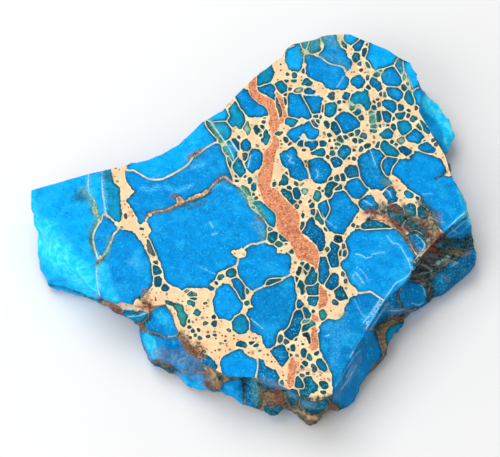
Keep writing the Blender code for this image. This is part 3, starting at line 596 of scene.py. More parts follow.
        (1.2, 3, 0.5, 157,361, 164,364, 170,366), (0.5, 2, 0.5, 143,345, 148,357, 154,366),
        (3.5, 4, 0.85, 184,338, 188,346, 195,352, 200,355),
        (0.9, 1.4, 0.6, 145,217, 154,212, 166,210.5, 174,206.5, 190,199.5, 202,195, 210,189, 216,182,
            223,176.5, 231,181),
        (1, 1.6, 0.8, 173,196, 181,200), (1.6, 3, 0.5, 264,396, 272,400, 284,404),
        (1.6, 2.4, 0.5, 328,408, 335,407), (0.3, 1.4, 0.35, 429.5,289, 430,303),
        (1.2, 3, 0.7, 189,157, 200,151), (2, 4, 0.6, 145,292, 147,299), (1, 4, 0.5, 150,303, 143,310),
        (0.6, 1.4, 0.7, 98,261), (1, 2, 0.4, 176,196, 178,200),
        (1.6, 3, 0.6, 418,221, 426,222, 432,226, 436,233), (1.2, 2.4, 0.5, 428,214, 440,221),
        (0.8, 1.4, 0.8, 131,212), (0.8, 1.8, 0.7, 414,276, 420,274, 433,265),
        (0.5, 1.6, 0.5, 410,246, 418,258),
    ),
    Mark.VERDIGRIS: strokes(
        (4, 6, 0.4, 305,52, 314,43, 326,38, 337,42), (1.5, 4, 0.25, 322,56, 338,60, 348,70),
        (1.5, 3, 0.4, 398,60, 405,74, 411,88), (1.5, 3, 0.5, 211,122, 222,142, 229,158),
        (1.6, 3.4, 0.6, 408,213, 414,219, 420,225), (1.2, 3, 0.5, 428,222, 434,230),
        (1.6, 5, 0.55, 241,189, 257,209, 262,218), (2, 4, 0.4, 256,224, 262,232, 264,238),
        (1.6, 2.4, 0.6, 350,103, 359,107), (2.2, 3, 0.5, 372,113, 374,127), (1.6, 3, 0.5, 376,72, 382,73),
        (2, 3, 0.5, 384,180, 388,183), (1.5, 2.6, 0.5, 304,321, 310,322), (1.5, 3, 0.45, 381,202, 384,206),
        (1, 2.6, 0.4, 256,176, 256,184), (1, 1.8, 0.6, 404,73, 404,79), (1.2, 2.4, 0.5, 340,316, 344,314),
        (1, 2, 0.4, 400,236, 408,243), (2, 4, 0.45, 255,382, 257,402),
        (2, 3.5, 0.65, 83,190, 90,198, 95,210, 98,218), (1.2, 2.4, 0.7, 98,218, 92,230, 92,243, 96,254),
        (1.2, 2.4, 0.65, 110,238, 107,252, 101,259, 97,266),
    ),
    Mark.HAZE: strokes(
        (4.5, 6, 0.65, 160,354, 170,357, 182,358, 192,364), (2, 4, 0.5, 176,372, 192,374, 204,380),
        (1.2, 3.6, 0.35, 359,358, 352,371, 343,388, 336,398), (2, 2.6, 0.6, 262,380, 272,383, 283,387),
        (3, 3, 0.5, 304,403, 312,405), (2.6, 2, 0.9, 440,246), (1.6, 2.4, 0.5, 420,266, 428,260, 436,254),
        (2, 4, 0.35, 384,306, 396,312, 402,312), (1.5, 2.5, 0.5, 207,380, 211,384),
    ),
    Mark.BARE: strokes(
        (3, 2, 0.9, 106,303, 118,304.5, 132,307, 148,309), (1.6, 2, 0.8, 199,369, 209,371.5),
        (0.8, 1.4, 0.9, 428.5,288, 429.5,303), (0.8, 1.4, 0.9, 411,276.5, 419,276.5),
        (0.8, 2.4, 0.4, 290,407, 297,410, 303,412), (1.4, 3, 0.4, 262,392, 270,394),
        (1, 1.6, 0.5, 137,325, 142,330), (3, 2.5, 0.7, 211,378, 216,382), (1, 3, 0.4, 309,417, 316,419),
    ),
    # fresh breaks, partly painted light: the bright west bevel and east wing, highlights on the blue lumps,
    # and painted highlights along the east rim
    Mark.FRESH_BREAK_AND_HIGHLIGHT: strokes(
        (4.5, 2.4, 0.32, 103,268, 106,282, 110,298), (6, 14, 0.56, 44,232, 52,246, 74,270, 88,283),
        (2, 9, 0.64, 56,254, 66,262, 78,271), (2, 6, 0.4, 104,288, 114,299),
        (6, 7, 1, 432,104, 441,110, 450,122, 455,134, 454,141),
        (0.8, 3.5, 1, 437,106, 442.5,114, 446,136, 449,145), (0.8, 3, 0.6, 459,188, 468.5,214, 469.5,222),
        (0.6, 1.8, 0.5, 467,213.5, 454,223), (3, 4, 0.4, 148,338, 155,354), (2, 5, 0.25, 157,312, 164,320),
        (1.5, 5, 0.25, 176,376, 188,385, 204,390), (1, 4, 0.35, 31.5,190, 33.5,210, 38,228),
    ),
}

Places = np.ndarray  # rows of (across, down) in the camera's frame
Points = np.ndarray  # rows of (x, y, z) in millimetres


def smoothstep(low: float, high: float, value: np.ndarray) -> np.ndarray:
    """Rises from 0 at low to 1 at high, with no corner at either end; high may be the lower number."""
    share = np.clip((value - low) / (high - low), 0.0, 1.0)
    return share * share * (3.0 - 2.0 * share)


def ripple(points: Points, size: float, seed: float = 0.0) -> np.ndarray:
    """Smooth noise, about -1 to 1, read at each point.

    Args:
        points: where to read it.
        size: how far apart its swells stand.
        seed: moves the reading to another part of the noise.

    Returns:
        One number for each point.
    """
    return np.array([noise.noise(Vector(point)) for point in points / size + seed])


def rounded(outline: Outline, steps: int = 4, closed: bool = True) -> Places:
    """A Catmull-Rom curve through an outline's points.

    Args:
        outline: the points, across and down of one after another.
        steps: how many stretches the curve has from one point to the next.
        closed: whether the last point joins the first.

    Returns:
        The curve's points, with the outline's own among them.
    """
    knots = np.array(outline, float).reshape(-1, 2)
    if len(knots) < 3:
        return knots
    if closed:
        before, after, beyond = (np.roll(knots, shift, 0) for shift in (1, -1, -2))
    else:
        padded = np.vstack([knots[:1], knots, knots[-1:], knots[-1:]])
        before, after, beyond = padded[:-3], padded[2:-1], padded[3:]
    curve = []
    for share in np.arange(steps) / steps:
        square, cube = share**2, share**3
        curve.append(
            0.5 * (
                2 * knots
                + (after - before) * share
                + (2 * before - 5 * knots + 4 * after - beyond) * square
                + (3 * knots - before - 3 * after + beyond) * cube
            )
        )
    return np.stack(curve, 1).reshape(-1, 2)


def offsets_from(places: Places, starts: Places, spans: np.ndarray) -> np.ndarray:
    """From the nearest point of every straight stretch to every place.

    Args:
        places: the places.
        starts: where each stretch begins.
        spans: how far each stretch runs, across and down.

    Returns:
        One (across, down) for each place and stretch.
    """
    offsets = places[:, None] - starts
    lengths = np.maximum((spans**2).sum(1), TINY)
    shares = np.clip((offsets * spans).sum(2) / lengths, 0.0, 1.0)
    return offsets - shares[:, :, None] * spans


def distance_to_line(places: Places, line: Places, closed: bool) -> np.ndarray:
    """How far each place is from a line of straight stretches."""
    starts = line if closed or len(line) == 1 else line[:-1]
    spans = (np.roll(line, -1, 0) - line)[: len(starts)]
    return np.sqrt((offsets_from(places, starts, spans) ** 2).sum(2).min(1))


def signed_distance(places: Places, outline: Places) -> np.ndarray:
    """Finds how far each place is inside an outline.

    Args:
        places: where to look.
        outline: its points, in order.

    Returns:
        The distance from the outline, negative outside it.
    """
    ends = np.roll(outline, -1, 0)
    across, down = places[:, :1], places[:, 1:]
    rises = (outline[:, 1] > down) != (ends[:, 1] > down)
    drop = ends[:, 1] - outline[:, 1]
    slope = (ends[:, 0] - outline[:, 0]) / np.where(drop == 0, TINY, drop)
    crossed = rises & (across < slope * (down - outline[:, 1]) + outline[:, 0])
    inside = crossed.sum(1) % 2 == 1
    return np.where(inside, 1.0, -1.0) * distance_to_line(places, outline, closed=True)


def within(places: Places, outline: Places, reach: float) -> np.ndarray:
    """Which places lie in an outline's box, grown by a reach on every side."""
    low, high = outline.min(0) - reach, outline.max(0) + reach
    return np.flatnonzero(((places > low) & (places < high)).all(1))


@dataclass(frozen=True)
class StoneCamera:
    """The camera, and the place in its frame of any point of the stone."""

    across: float = 500.0
    down: float = 457.0
    target: tuple[float, float, float] = (-0.458, -3.166, THICKNESS)
    distance: float = 330.0
    elevation: float = math.radians(62.0)
    sensor: float = 36.0
    lens: float = 173.45
    clip_start: float = 0.01

    @property
    def back(self) -> np.ndarray:
        """From the target to the camera, one unit long."""
        return np.array([0.0, -math.cos(self.elevation), math.sin(self.elevation)])

    @property
    def up(self) -> np.ndarray:
        """The direction that stands upright in the frame."""
        return np.array([0.0, math.sin(self.elevation), math.cos(self.elevation)])

    @property
    def position(self) -> np.ndarray:
        """Where the camera stands, in millimetres."""
        return np.array(self.target) + self.distance * self.back

    @property
    def unit(self) -> float:
        """How many of the frame's units a millimetre covers at the target."""
        return self.lens / self.sensor * self.across / self.distance

    def places(self, points: Points) -> Places:
        """Where points lie in the frame."""
        offset = points - self.position
        size = self.unit * self.distance / -(offset @ self.back)
        across = self.across / 2 + size * offset[:, 0]
        return np.stack([across, self.down / 2 - size * (offset @ self.up)], 1)

    def facing(self, normals: Points) -> np.ndarray:
        """How squarely surfaces face the camera, from -1 to 1."""
        return normals @ self.back

    def make(self) -> None:
        """Adds the camera to the scene."""
        data = bpy.data.cameras.new("stone_camera")
        data.sensor_width = self.sensor
        data.lens = self.lens
        data.clip_start = self.clip_start
        camera = bpy.data.objects.new("stone_camera", data)
        camera.location = self.position * MM
        camera.rotation_euler = (math.pi / 2 - self.elevation, 0.0, 0.0)
        bpy.context.scene.collection.objects.link(camera)
        bpy.context.scene.camera = camera


def linear(display: tuple[float, float, float]) -> np.ndarray:
    """A display colour, from 0 to 255, as the linear colour that shaders take."""
    share = np.array(display) / 255
    return np.where(share <= 0.04045, share / 12.92, ((share + 0.055) / 1.055) ** 2.4)


@dataclass
class Reading:
    """What a pattern says at each of many places."""

    free: np.ndarray  # millimetres inside a nodule that stands alone, negative outside it
    parted: np.ndarray  # millimetres from the seam between two nodules, negative in it
    split: np.ndarray  # half the lead of the nearest nodule over the next, its sign telling the two apart
    joined: np.ndarray  # 1 where two wide nodules are parted by no more than a seam
    seam: np.ndarray  # half the width of the seam, in millimetres
    core: np.ndarray  # linear colour of the nearest nodule's core
    crack: np.ndarray  # 1 in the narrow gaps between nodules, 0 in the open matrix

    @property
    def depth(self) -> np.ndarray:
        """Millimetres inside a nodule, negative in the matrix."""
        return np.minimum(self.free, self.parted)


@dataclass
class Pattern:
    """A drawing of nodules in the camera's frame, read as a distance field.

    Its lengths are in the frame's own units.
    """

    outlines: dict[Tone, dict[str, Outline]]
    beads: dict[Tone, tuple[Oval, ...]]
    unit: float  # of the frame's units to a millimetre
    seam: float = 0.9  # least width of the matrix between neighbours
    slit: float = 0.25  # share of the gap between two wide nodules that the seam keeps as well
    meeting_gap: tuple[float, float] = (4.2, 5.2)  # below the first, wide nodules meet; above the second, not
    narrow_gap: tuple[float, float] = (4.0, 8.0)  # below the first, a gap is narrow; above the second, open
    growth: float = 0.3  # how far nodules outgrow their outlines everywhere
    narrow_growth: float = 0.9  # and how much further in narrow gaps
    wide: float = 380.0  # area that makes a nodule a wide one
    reach: float = 14.0  # how far from a nodule the field is kept true
    bead_points: int = 16
    bead_wobble: float = 0.22
    tone_shift: float = 0.07  # how far nodules of one tone differ in brightness
    shapes: list[tuple[Places, np.ndarray, bool]] = field(default_factory=list)  # outline, colour, if wide

    def __post_init__(self) -> None:
        """Rounds every outline and settles each nodule's own colour."""
        for tone, drawn in self.outlines.items():
            for outline in drawn.values():
                self.add(rounded(outline), tone)
        for tone, ovals in self.beads.items():
            for oval in ovals:
                self.add(self.bead(oval), tone)

    def add(self, outline: Places, tone: Tone) -> None:
        """Keeps one nodule.

        Args:
            outline: the nodule's.
            tone: what it is made of; its colour comes out a little off the tone's own.
        """
        shift = noise.cell(Vector((*outline.mean(0), len(outline)))) - 0.5
        ends = np.roll(outline, -1, 0)
        area = abs((outline[:, 0] * ends[:, 1] - ends[:, 0] * outline[:, 1]).sum()) / 2
        colour = linear(tone.value) * (1 + 2 * self.tone_shift * shift)
        self.shapes.append((outline, colour, area > self.wide))

    def bead(self, oval: Oval) -> Places:
        """Draws a small nodule.

        Args:
            oval: the nodule's middle, half width, half height and turn.

        Returns:
            The outline of an oval that isn't quite one.
        """
        across, down, half_width, half_height, *turned = oval
        turn = math.radians(sum(turned))
        outline = []
        for step in range(self.bead_points):
            bearing = math.tau * step / self.bead_points
            wobble = noise.noise(Vector((across + math.cos(bearing), down + math.sin(bearing), 0.0)))
            size = 1 + self.bead_wobble * wobble
            x, y = half_width * size * math.cos(bearing), half_height * size * math.sin(bearing)
            outline.append((across + x * math.cos(turn) - y * math.sin(turn),
                            down + x * math.sin(turn) + y * math.cos(turn)))
        return np.array(outline)

    def read(self, places: Places, fray: np.ndarray | float) -> Reading:
        """Reads the field.

        Two nodules that touch or overlap are parted along the line midway between their edges, and two
        wide ones with a narrow gap are brought together along it.

        Args:
            places: where to read it.
            fray: how far the nodules' edges stray outwards at each place; the seams stay where they are.

        Returns:
            The fields at each place.
        """
        best = np.full(len(places), -self.reach)
        second = best.copy()
        best_wide = np.zeros(len(places), bool)
        second_wide = best_wide.copy()
        first = np.zeros(len(places), int)
        runner_up = first.copy()
        core = np.tile(linear(Tone.AZURE.value), (len(places), 1))
        for number, (outline, colour, wide) in enumerate(self.shapes):
            near = within(places, outline, self.reach)
            if len(near) == 0:
                continue
            depth = signed_distance(places[near], outline)
            wins = depth > best[near]
            follows = ~wins & (depth > second[near])
            second_wide[near] = np.where(wins, best_wide[near], np.where(follows, wide, second_wide[near]))
            runner_up[near] = np.where(wins, first[near], np.where(follows, number, runner_up[near]))
            second[near] = np.where(wins, best[near], np.maximum(second[near], depth))
            best_wide[near[wins]] = wide
            first[near[wins]] = number
            best[near] = np.maximum(best[near], depth)
            core[near[wins]] = colour
        gap = -(best + second)
        joined = smoothstep(*self.meeting_gap[::-1], gap) * (best_wide & second_wide)
        lead = (best - second) / 2
        seam = (self.seam + self.slit * joined * np.maximum(gap, 0.0)) / 2
        crack = smoothstep(*self.narrow_gap[::-1], gap)
        free = best + self.growth + self.narrow_growth * crack + fray + self.reach * joined
        split = np.where(first > runner_up, lead, -lead)
        unit = self.unit
        return Reading(free / unit, (lead - seam) / unit, split / unit, joined, seam / unit, core, crack)


def region_depth(places: Places, drawn: dict[str, Outline], unit: float, reach: float = 14.0) -> np.ndarray:
    """How far each place is inside any of several outlines.

    Args:
        places: where to look.
        drawn: the outlines.
        unit: how many of the frame's units a millimetre covers.
        reach: how far from an outline to look, in the frame's units.

    Returns:
        Millimetres inside one, negative outside them all.
    """
    depth = np.full(len(places), -reach)
    for outline in drawn.values():
        curve = rounded(outline)
        near = within(places, curve, reach)
        depth[near] = np.maximum(depth[near], signed_distance(places[near], curve))
    return depth / unit


def mark_strength(places: Places, marks: tuple[Stroke, ...]) -> np.ndarray:
    """Finds how strongly a stain's strokes cover each place.

    Args:
        places: where to look.
        marks: the strokes.

    Returns:
        The strongest stroke's cover at each place, from 0 to 1.
    """
    strength = np.zeros(len(places))
    for stroke in marks:
        line = rounded(stroke.points, closed=False)
        edge = stroke.width + stroke.fade
        near = within(places, line, edge)
        gap = distance_to_line(places[near], line, closed=False)
        cover = stroke.strength * (1 - smoothstep(stroke.width, edge, gap))
        strength[near] = np.maximum(strength[near], cover)
    return strength


def nearest_thread(places: Places, marks: tuple[Stroke, ...], reach: float = 6.0) -> np.ndarray:
    """Finds how far each place is from the nearest of several fine lines.

    Args:
        places: where to look.
        marks: the strokes, of which some have such a line.
        reach: how far from a line to look.

    Returns:
        Two rows: the distance in the frame's units, negative on one side of the line, and its strength.
    """
    gap = np.full(len(places), reach)
    side = np.ones(len(places))
    strength = np.zeros(len(places))
    for stroke in marks:
        line = rounded(stroke.points, closed=False)
        near = within(places, line, reach)
        if len(near) == 0 or not stroke.has_thread:
            continue
        spans = np.diff(line, axis=0)
        gaps = np.linalg.norm(offsets_from(places[near], line[:-1], spans), axis=2)
        closest = gaps.argmin(1)
        own = gaps.min(1)
        across, down = (places[near] - line[closest]).T
        turn = spans[closest, 0] * down - spans[closest, 1] * across
        wins = own < gap[near]
        gap[near[wins]] = own[wins]
        side[near[wins]] = np.where(turn[wins] < 0, -1.0, 1.0)
        strength[near[wins]] = stroke.strength
    return np.array([gap * side, strength])


@dataclass
class PolarEdge:
    """A closed line round the stone, as its distance from HEART at each bearing."""

    bearings: np.ndarray
    radii: np.ndarray

    @classmethod
    def through(cls, points: Points) -> "PolarEdge":
        """The line through points in any order."""
        bearings, radii = polar(points)
        order = np.argsort(bearings)
        return cls(bearings[order], radii[order])

    def radius(self, bearings: np.ndarray) -> np.ndarray:
        """The line's distance from HEART at each bearing."""
        return np.interp(bearings, self.bearings, self.radii, period=math.tau)


def polar(points: Points) -> tuple[np.ndarray, np.ndarray]:
    """Each point's bearing and distance from HEART, seen from above."""
    offset = points[:, :2] - HEART
    return np.arctan2(offset[:, 1], offset[:, 0]), np.hypot(offset[:, 0], offset[:, 1])


@dataclass
class Fold:
    """Carries the wall and the sole back on to the sawn face, so that its pattern turns over the rim."""

    rim: PolarEdge
    sole: PolarEdge
    shrink: float = 0.8  # how far in the pattern is read for each millimetre down the wall
    warp: float = 1.5  # how far it is shaken about
    warp_size: float = 4.5
    warp_drop: tuple[float, float] = (0.3, 3.0)  # from the rim to where the shaking starts and is whole
    warp_seed: float = 31.7  # tells the second direction's noise from the first's

    def unfold(self, points: Points) -> Points:
        """Finds the point of the sawn face that each point continues.

        Args:
            points: on the wall or the sole.

        Returns:
            Points at the height of the sawn face, inside its rim.
        """
        bearings, radii = polar(points)
        rim, sole = self.rim.radius(bearings), self.sole.radius(bearings)
        on_sole = points[:, 2] < FLUSH
        outer = np.where(on_sole, sole, radii)
        drop = np.hypot(outer - rim, THICKNESS - points[:, 2])
        inward = (rim - self.shrink * drop) * np.where(on_sole, radii / np.maximum(sole, TINY), 1.0)
        amount = self.warp * smoothstep(*self.warp_drop, drop)
        x = HEART[0] + inward * np.cos(bearings) + amount * ripple(points, self.warp_size)
        y = HEART[1] + inward * np.sin(bearings) + amount * ripple(points, self.warp_size, self.warp_seed)
        return np.stack([x, y, np.full(len(points), THICKNESS)], 1)


@dataclass
class SlabMesh:
    """The stone's skin: two sawn faces and the broken wall between them, with the pattern's fields on it.

    A pair of lengths (start, full) gives where an effect begins and where it is whole.
    """

    source: bpy.types.Object
    camera: StoneCamera
    face: Pattern
    wall: Pattern
    cuts: int = 2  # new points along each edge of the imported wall
    polish_rounds: int = 7
    fresh: float = 0.12  # strength from which a fresh break, or a wall under a painted highlight, is polished
    coarse: float = 0.42  # spacing of points inside nodules and in the open matrix
    fine: float = 0.15  # spacing of points along the nodules' edges
    band: float = 0.19  # how far from an edge the fine points reach
    bruised: float = 0.3  # strength from which a chalk mark has fine points
    sole_spacing: float = 0.62
    rim_margin: float = 0.09
    jitter: float = 0.22
    view_facing: float = 0.2  # how squarely the wall faces the camera where it's drawn wholly as seen
    view_drop: float = 0.5  # and how far below the rim
    salmon_margin: float = 0.08  # matrix left between a salmon band and the nodules
    recess: float = 0.045  # how far the soft matrix has worn below the nodules of the sawn face
    recess_edge: tuple[float, float] = (0.03, -0.12)  # depths inside a nodule
    wall_recess: float = 0.14
    wall_recess_edge: tuple[float, float] = (0.03, -0.2)
    rim_hold: tuple[float, float] = (0.05, 0.9)  # how far below the rim the wall is roughened
    foot_hold: float = 0.5  # and how far above the sole
    lumps: tuple[tuple[float, float], ...] = ((1.9, 0.15), (0.75, 0.08), (0.34, 0.035))  # size and height
    lump_seed: float = 7.3
    rind_rough: float = -0.8  # how much a fresh break, or a wall under a painted highlight, adds to the wall's lumps
    soot_rough: float = 1.6  # and the crevice under the soot and painted shade
    wear: float = 0.88  # of the rim, where its noise is at its highest
    wear_width: float = 0.7
    wear_size: float = 2.6
    wear_seed: float = 3.1
    pit: float = 0.38  # depth of the crevice under the soot and painted shade
    pit_size: float = 0.8
    pit_seed: float = 5.9
    pit_swell: float = 0.6  # share of that depth that comes and goes
    inner_hold: float = 0.3  # from the rim to where pits and recess are whole
    contour_noise: tuple[tuple[float, float], ...] = ((0.62, 0.15), (0.28, 0.11))
    crease: float = math.radians(52)  # sharper edges than this stay sharp
    top_share: float = 0.74  # how much of the map's width the upper face takes
    strips: int = 3  # the wall's parts on it
    strip_margin: float = 0.02
    map_gap: float = 0.006
    map_lean: float = 0.1  # share of a strip's height that follows the wall's radius

    def __post_init__(self) -> None:
        """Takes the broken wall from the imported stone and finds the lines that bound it."""
        form = self.broken_wall()
        self.points = np.array([vert.co for vert in form.verts])
        self.normals = np.array([vert.normal for vert in form.verts])
        self.faces = [[vert.index for vert in piece.verts] for piece in form.faces]
        form.free()
        self.rim = self.ring(self.points[:, 2] > THICKNESS - FLUSH)
        self.foot = self.ring(self.points[:, 2] < FLUSH)
        self.fold = Fold(PolarEdge.through(self.points[self.rim]), PolarEdge.through(self.points[self.foot]))
        self.wall_size = len(self.points)
        self.wall_face_count = len(self.faces)

    def broken_wall(self) -> bmesh.types.BMesh:
        """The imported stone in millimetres, without its sawn faces and divided more finely."""
        form = bmesh.new()
        form.from_mesh(self.source.data)
        form.transform(Matrix.Scale(1 / MM, 4))
        bmesh.ops.remove_doubles(form, verts=form.verts, dist=FLUSH / 10)
        sawn = []
        for piece in form.faces:
            heights = [vert.co.z for vert in piece.verts]
            if min(heights) > THICKNESS - FLUSH or max(heights) < FLUSH:
                sawn.append(piece)
        bmesh.ops.delete(form, geom=sawn, context="FACES_ONLY")
        bmesh.ops.delete(form, geom=[edge for edge in form.edges if not edge.link_faces], context="EDGES")
        bmesh.ops.subdivide_edges(form, edges=form.edges, cuts=self.cuts, use_grid_fill=True)
        bmesh.ops.triangulate(form, faces=form.faces)
        self.polish(form)
        form.normal_update()
        form.verts.index_update()
        return form

    def polish(self, form: bmesh.types.BMesh) -> None:
        """Smooths the fresh shell-like breaks and the wall under painted highlights, but leaves the stone's
        upper and lower lines alone.
        """
        every_way = {"use_axis_x": True, "use_axis_y": True, "use_axis_z": True}
        for _ in range(self.polish_rounds):
            places = self.camera.places(np.array([vert.co for vert in form.verts]))
            strengths = mark_strength(places, STROKES[Mark.FRESH_BREAK_AND_HIGHLIGHT])
            form.verts.ensure_lookup_table()
            chosen = [
                vert for vert, strength in zip(form.verts, strengths)
                if strength > self.fresh and FLUSH < vert.co.z < THICKNESS - FLUSH
            ]
            bmesh.ops.smooth_vert(form, verts=chosen, factor=0.5, **every_way)

    def ring(self, chosen: np.ndarray) -> np.ndarray:
        """The chosen points' numbers, in order round the stone."""
        numbers = np.flatnonzero(chosen)
        return numbers[np.argsort(polar(self.points[numbers])[0])]

    def grid(self, spacing: float, edge: PolarEdge, seed: int) -> np.ndarray:
        """A shaken triangular grid inside a line round the stone.

        Args:
            spacing: between neighbouring points.
            edge: the line.
            seed: of the shaking.

        Returns:
            Rows of (x, y).
        """
        draw = np.random.default_rng(seed)
        reach = edge.radii.max() + spacing
        rows = np.arange(-reach, reach, spacing * math.sqrt(3) / 2)
        columns = np.arange(-reach, reach, spacing)
        x, y = np.meshgrid(columns, rows)
        x[1::2] += spacing / 2
        spots = np.stack([x.ravel() + HEART[0], y.ravel() + HEART[1]], 1)
        spots += draw.uniform(-1, 1, spots.shape) * self.jitter * spacing
        bearings, radii = polar(spots)
        return spots[radii < edge.radius(bearings) - self.rim_margin]

    def sawn_spots(self) -> np.ndarray:
        """Points (x, y) for the upper face: many along every edge of the pattern, few elsewhere."""
        fine = self.grid(self.fine, self.fold.rim, seed=1)
        coarse = self.grid(self.coarse, self.fold.rim, seed=2)
        return np.vstack([fine[self.busy(fine)], coarse[~self.busy(coarse)]])

    def busy(self, spots: np.ndarray) -> np.ndarray:
        """Which points (x, y) of the upper face lie close to an edge of the pattern."""
        seen = self.camera.places(np.column_stack([spots, np.full(len(spots), THICKNESS)]))
        near_nodule = np.abs(self.face.read(seen, 0.0).depth) < self.band
        near_salmon = np.abs(region_depth(seen, SALMON, self.camera.unit)) < self.band / 2
        return near_nodule | near_salmon | (mark_strength(seen, STROKES[Mark.CHALK_AND_HIGHLIGHT]) > self.bruised)

    def close(self, ring: np.ndarray, spots: np.ndarray, height: float) -> None:
        """Fills a ring of the wall with triangles, which look up at the top and down at the sole.

        Args:
            ring: numbers of the ring's points, in order.
            spots: rows of (x, y) inside the ring, to have corners at.
            height: of the face that they fill.
        """
        flat = [Vector(spot) for spot in np.vstack([self.points[ring, :2], spots])]
        _, _, pieces, sources, _, holders = delaunay_2d_cdt(flat, [], [list(range(len(ring)))], 0, 1e-6, True)
        numbers = np.concatenate([ring, len(self.points) + np.arange(len(spots))])
        self.points = np.vstack([self.points, np.column_stack([spots, np.full(len(spots), height)])])
        for piece, held in zip(pieces, holders):
            if held:
                corners = [int(numbers[sources[corner][0]]) for corner in piece]
                self.faces.append(corners if height > 0 else corners[::-1])

    def read(self) -> None:
        """Reads every field at every point of the skin.

        What the camera sees of the wall is read from the wall's own nodules, and the rest from the sawn
        face's, at the point that the fold carries it back to.
        """
        self.top = self.points[:, 2] > THICKNESS / 2
        self.top[: self.wall_size] = False
        self.top[self.rim] = True
        self.view = self.view_weight()
        shown = self.view > 0.5
        folded = self.camera.places(np.where(self.top[:, None], self.points, self.fold.unfold(self.points)))
        seen = self.camera.places(self.points)
        unit = self.camera.unit
        fray = sum(height * ripple(self.points, size) for size, height in self.contour_noise) * unit
        self.reading, own = self.face.read(folded, fray), self.wall.read(seen, fray)
        for name in ("free", "parted"):
            values = getattr(self.reading, name)
            values += (getattr(own, name) - values) * self.view
        for name in ("split", "joined", "seam", "crack", "core"):
            getattr(self.reading, name)[shown] = getattr(own, name)[shown]
        self.salmon = region_depth(folded, SALMON, unit)
        self.salmon += (region_depth(seen, SALMON, unit) - self.salmon) * self.view
        self.reading.free = np.minimum(self.reading.free, -self.salmon - self.salmon_margin)
        self.depth = self.reading.depth
        places = np.where(shown[:, None], seen, folded)
        self.thread, self.thread_strength = nearest_thread(places, STROKES[Mark.CHALK_AND_HIGHLIGHT])
        self.thread /= unit
        self.thread_strength *= self.top | shown
        weight = np.where(self.top, 1.0, self.view)
        self.marks = {}
        for mark, marks in STROKES.items():
            hidden = 0.0 if mark is Mark.CHALK_AND_HIGHLIGHT else mark_strength(folded, marks)
            self.marks[mark] = hidden * (1 - weight) + mark_strength(seen, marks) * weight

    def view_weight(self) -> np.ndarray:
        """How far each point of the wall is drawn from what the camera sees of it, from 0 to 1."""
        wall = self.points[: self.wall_size]
        bearings, radii = polar(wall)
        drop = np.hypot(radii - self.fold.rim.radius(bearings), THICKNESS - wall[:, 2])
        weight = np.zeros(len(self.points))
        weight[: self.wall_size] = smoothstep(0.0, self.view_facing, self.camera.facing(self.normals))
        weight[: self.wall_size] *= smoothstep(0.0, self.view_drop, drop)
        return weight

    def carve(self) -> None:
        """Gives the skin its low relief: rough walls, a worn rim, a sunk matrix and a pitted crevice."""
        bearings, radii = polar(self.points)
        inset = self.fold.rim.radius(bearings) - radii
        wall = np.arange(self.wall_size)
        drop = np.hypot(inset[wall], THICKNESS - self.points[wall, 2])
        loose = smoothstep(*self.rim_hold, drop) * smoothstep(0.0, self.foot_hold, self.points[wall, 2])
        height = -self.wall_recess * smoothstep(*self.wall_recess_edge, self.depth[wall])
        # the fresh-break mark carries painted highlights, and the soot mark painted shade
        rind, soot_and_shade = self.marks[Mark.FRESH_BREAK_AND_HIGHLIGHT], self.marks[Mark.SOOT_AND_SHADE]
        rough = 1 + self.rind_rough * rind[wall] + self.soot_rough * soot_and_shade[wall]
        for size, swell in self.lumps:
            height += rough * swell * ripple(self.points[wall], size, self.lump_seed)
        top = np.flatnonzero(self.top)
        places = self.points[top]
        worn = self.wear * np.maximum(ripple(places, self.wear_size, self.wear_seed), 0.0) ** 2
        worn *= smoothstep(self.wear_width, 0.0, inset[top])
        pitted = 1 - self.pit_swell + self.pit_swell * ripple(places, self.pit_size, self.pit_seed)
        pitted *= self.pit * soot_and_shade[top]
        sunk = self.recess * smoothstep(*self.recess_edge, self.depth[top])
        inner = smoothstep(0.0, self.inner_hold, inset[top])
        self.points[wall] += self.normals * (loose * height)[:, None]
        self.points[top, 2] -= worn + inner * (np.maximum(pitted, 0.0) + sunk)

    def build(self) -> bpy.types.Object:
        """Makes the whole skin as one object with its fields."""
        self.close(self.rim, self.sawn_spots(), THICKNESS)
        self.close(self.foot, self.grid(self.sole_spacing, self.fold.sole, seed=3), 0.0)
        self.read()
        self.carve()
        mesh = bpy.data.meshes.new("slab")
        mesh.from_pydata((self.points * MM).tolist(), [], self.faces)
        self.write(mesh)
        mesh.shade_smooth()
        mesh.set_sharp_from_angle(angle=self.crease)
        self.unwrap(mesh)
        slab = bpy.data.objects.new("slab", mesh)
        bpy.context.scene.collection.objects.link(slab)
        return slab

    def write(self, mesh: bpy.types.Mesh) -> None:
        """Stores the fields on the mesh, one value at each point."""
        names = ("free", "parted", "split", "joined", "seam", "crack")
        fields = {name: getattr(self.reading, name) for name in names}
        fields |= {"salmon": self.salmon, "clean": self.clean()}
        fields |= {"thread": self.thread, "thread_gap": np.abs(self.thread)}
        fields |= {"thread_strength": self.thread_strength}
        fields |= {mark.value: strength for mark, strength in self.marks.items()}
        for name, values in fields.items():
            mesh.attributes.new(name, "FLOAT", "POINT").data.foreach_set("value", values.astype(np.float32))
        colour = np.column_stack([self.reading.core, np.ones(len(self.depth))]).astype(np.float32)
        mesh.attributes.new("core", "FLOAT_COLOR", "POINT").data.foreach_set("color", colour.ravel())

    def clean(self) -> np.ndarray:
        """1 where the matrix is clean: on the sawn faces and in bare patches of the wall."""
        clean = np.ones(len(self.points))
        clean[: self.wall_size] = self.marks[Mark.BARE][: self.wall_size]
        clean[self.rim] = 1.0
        return clean

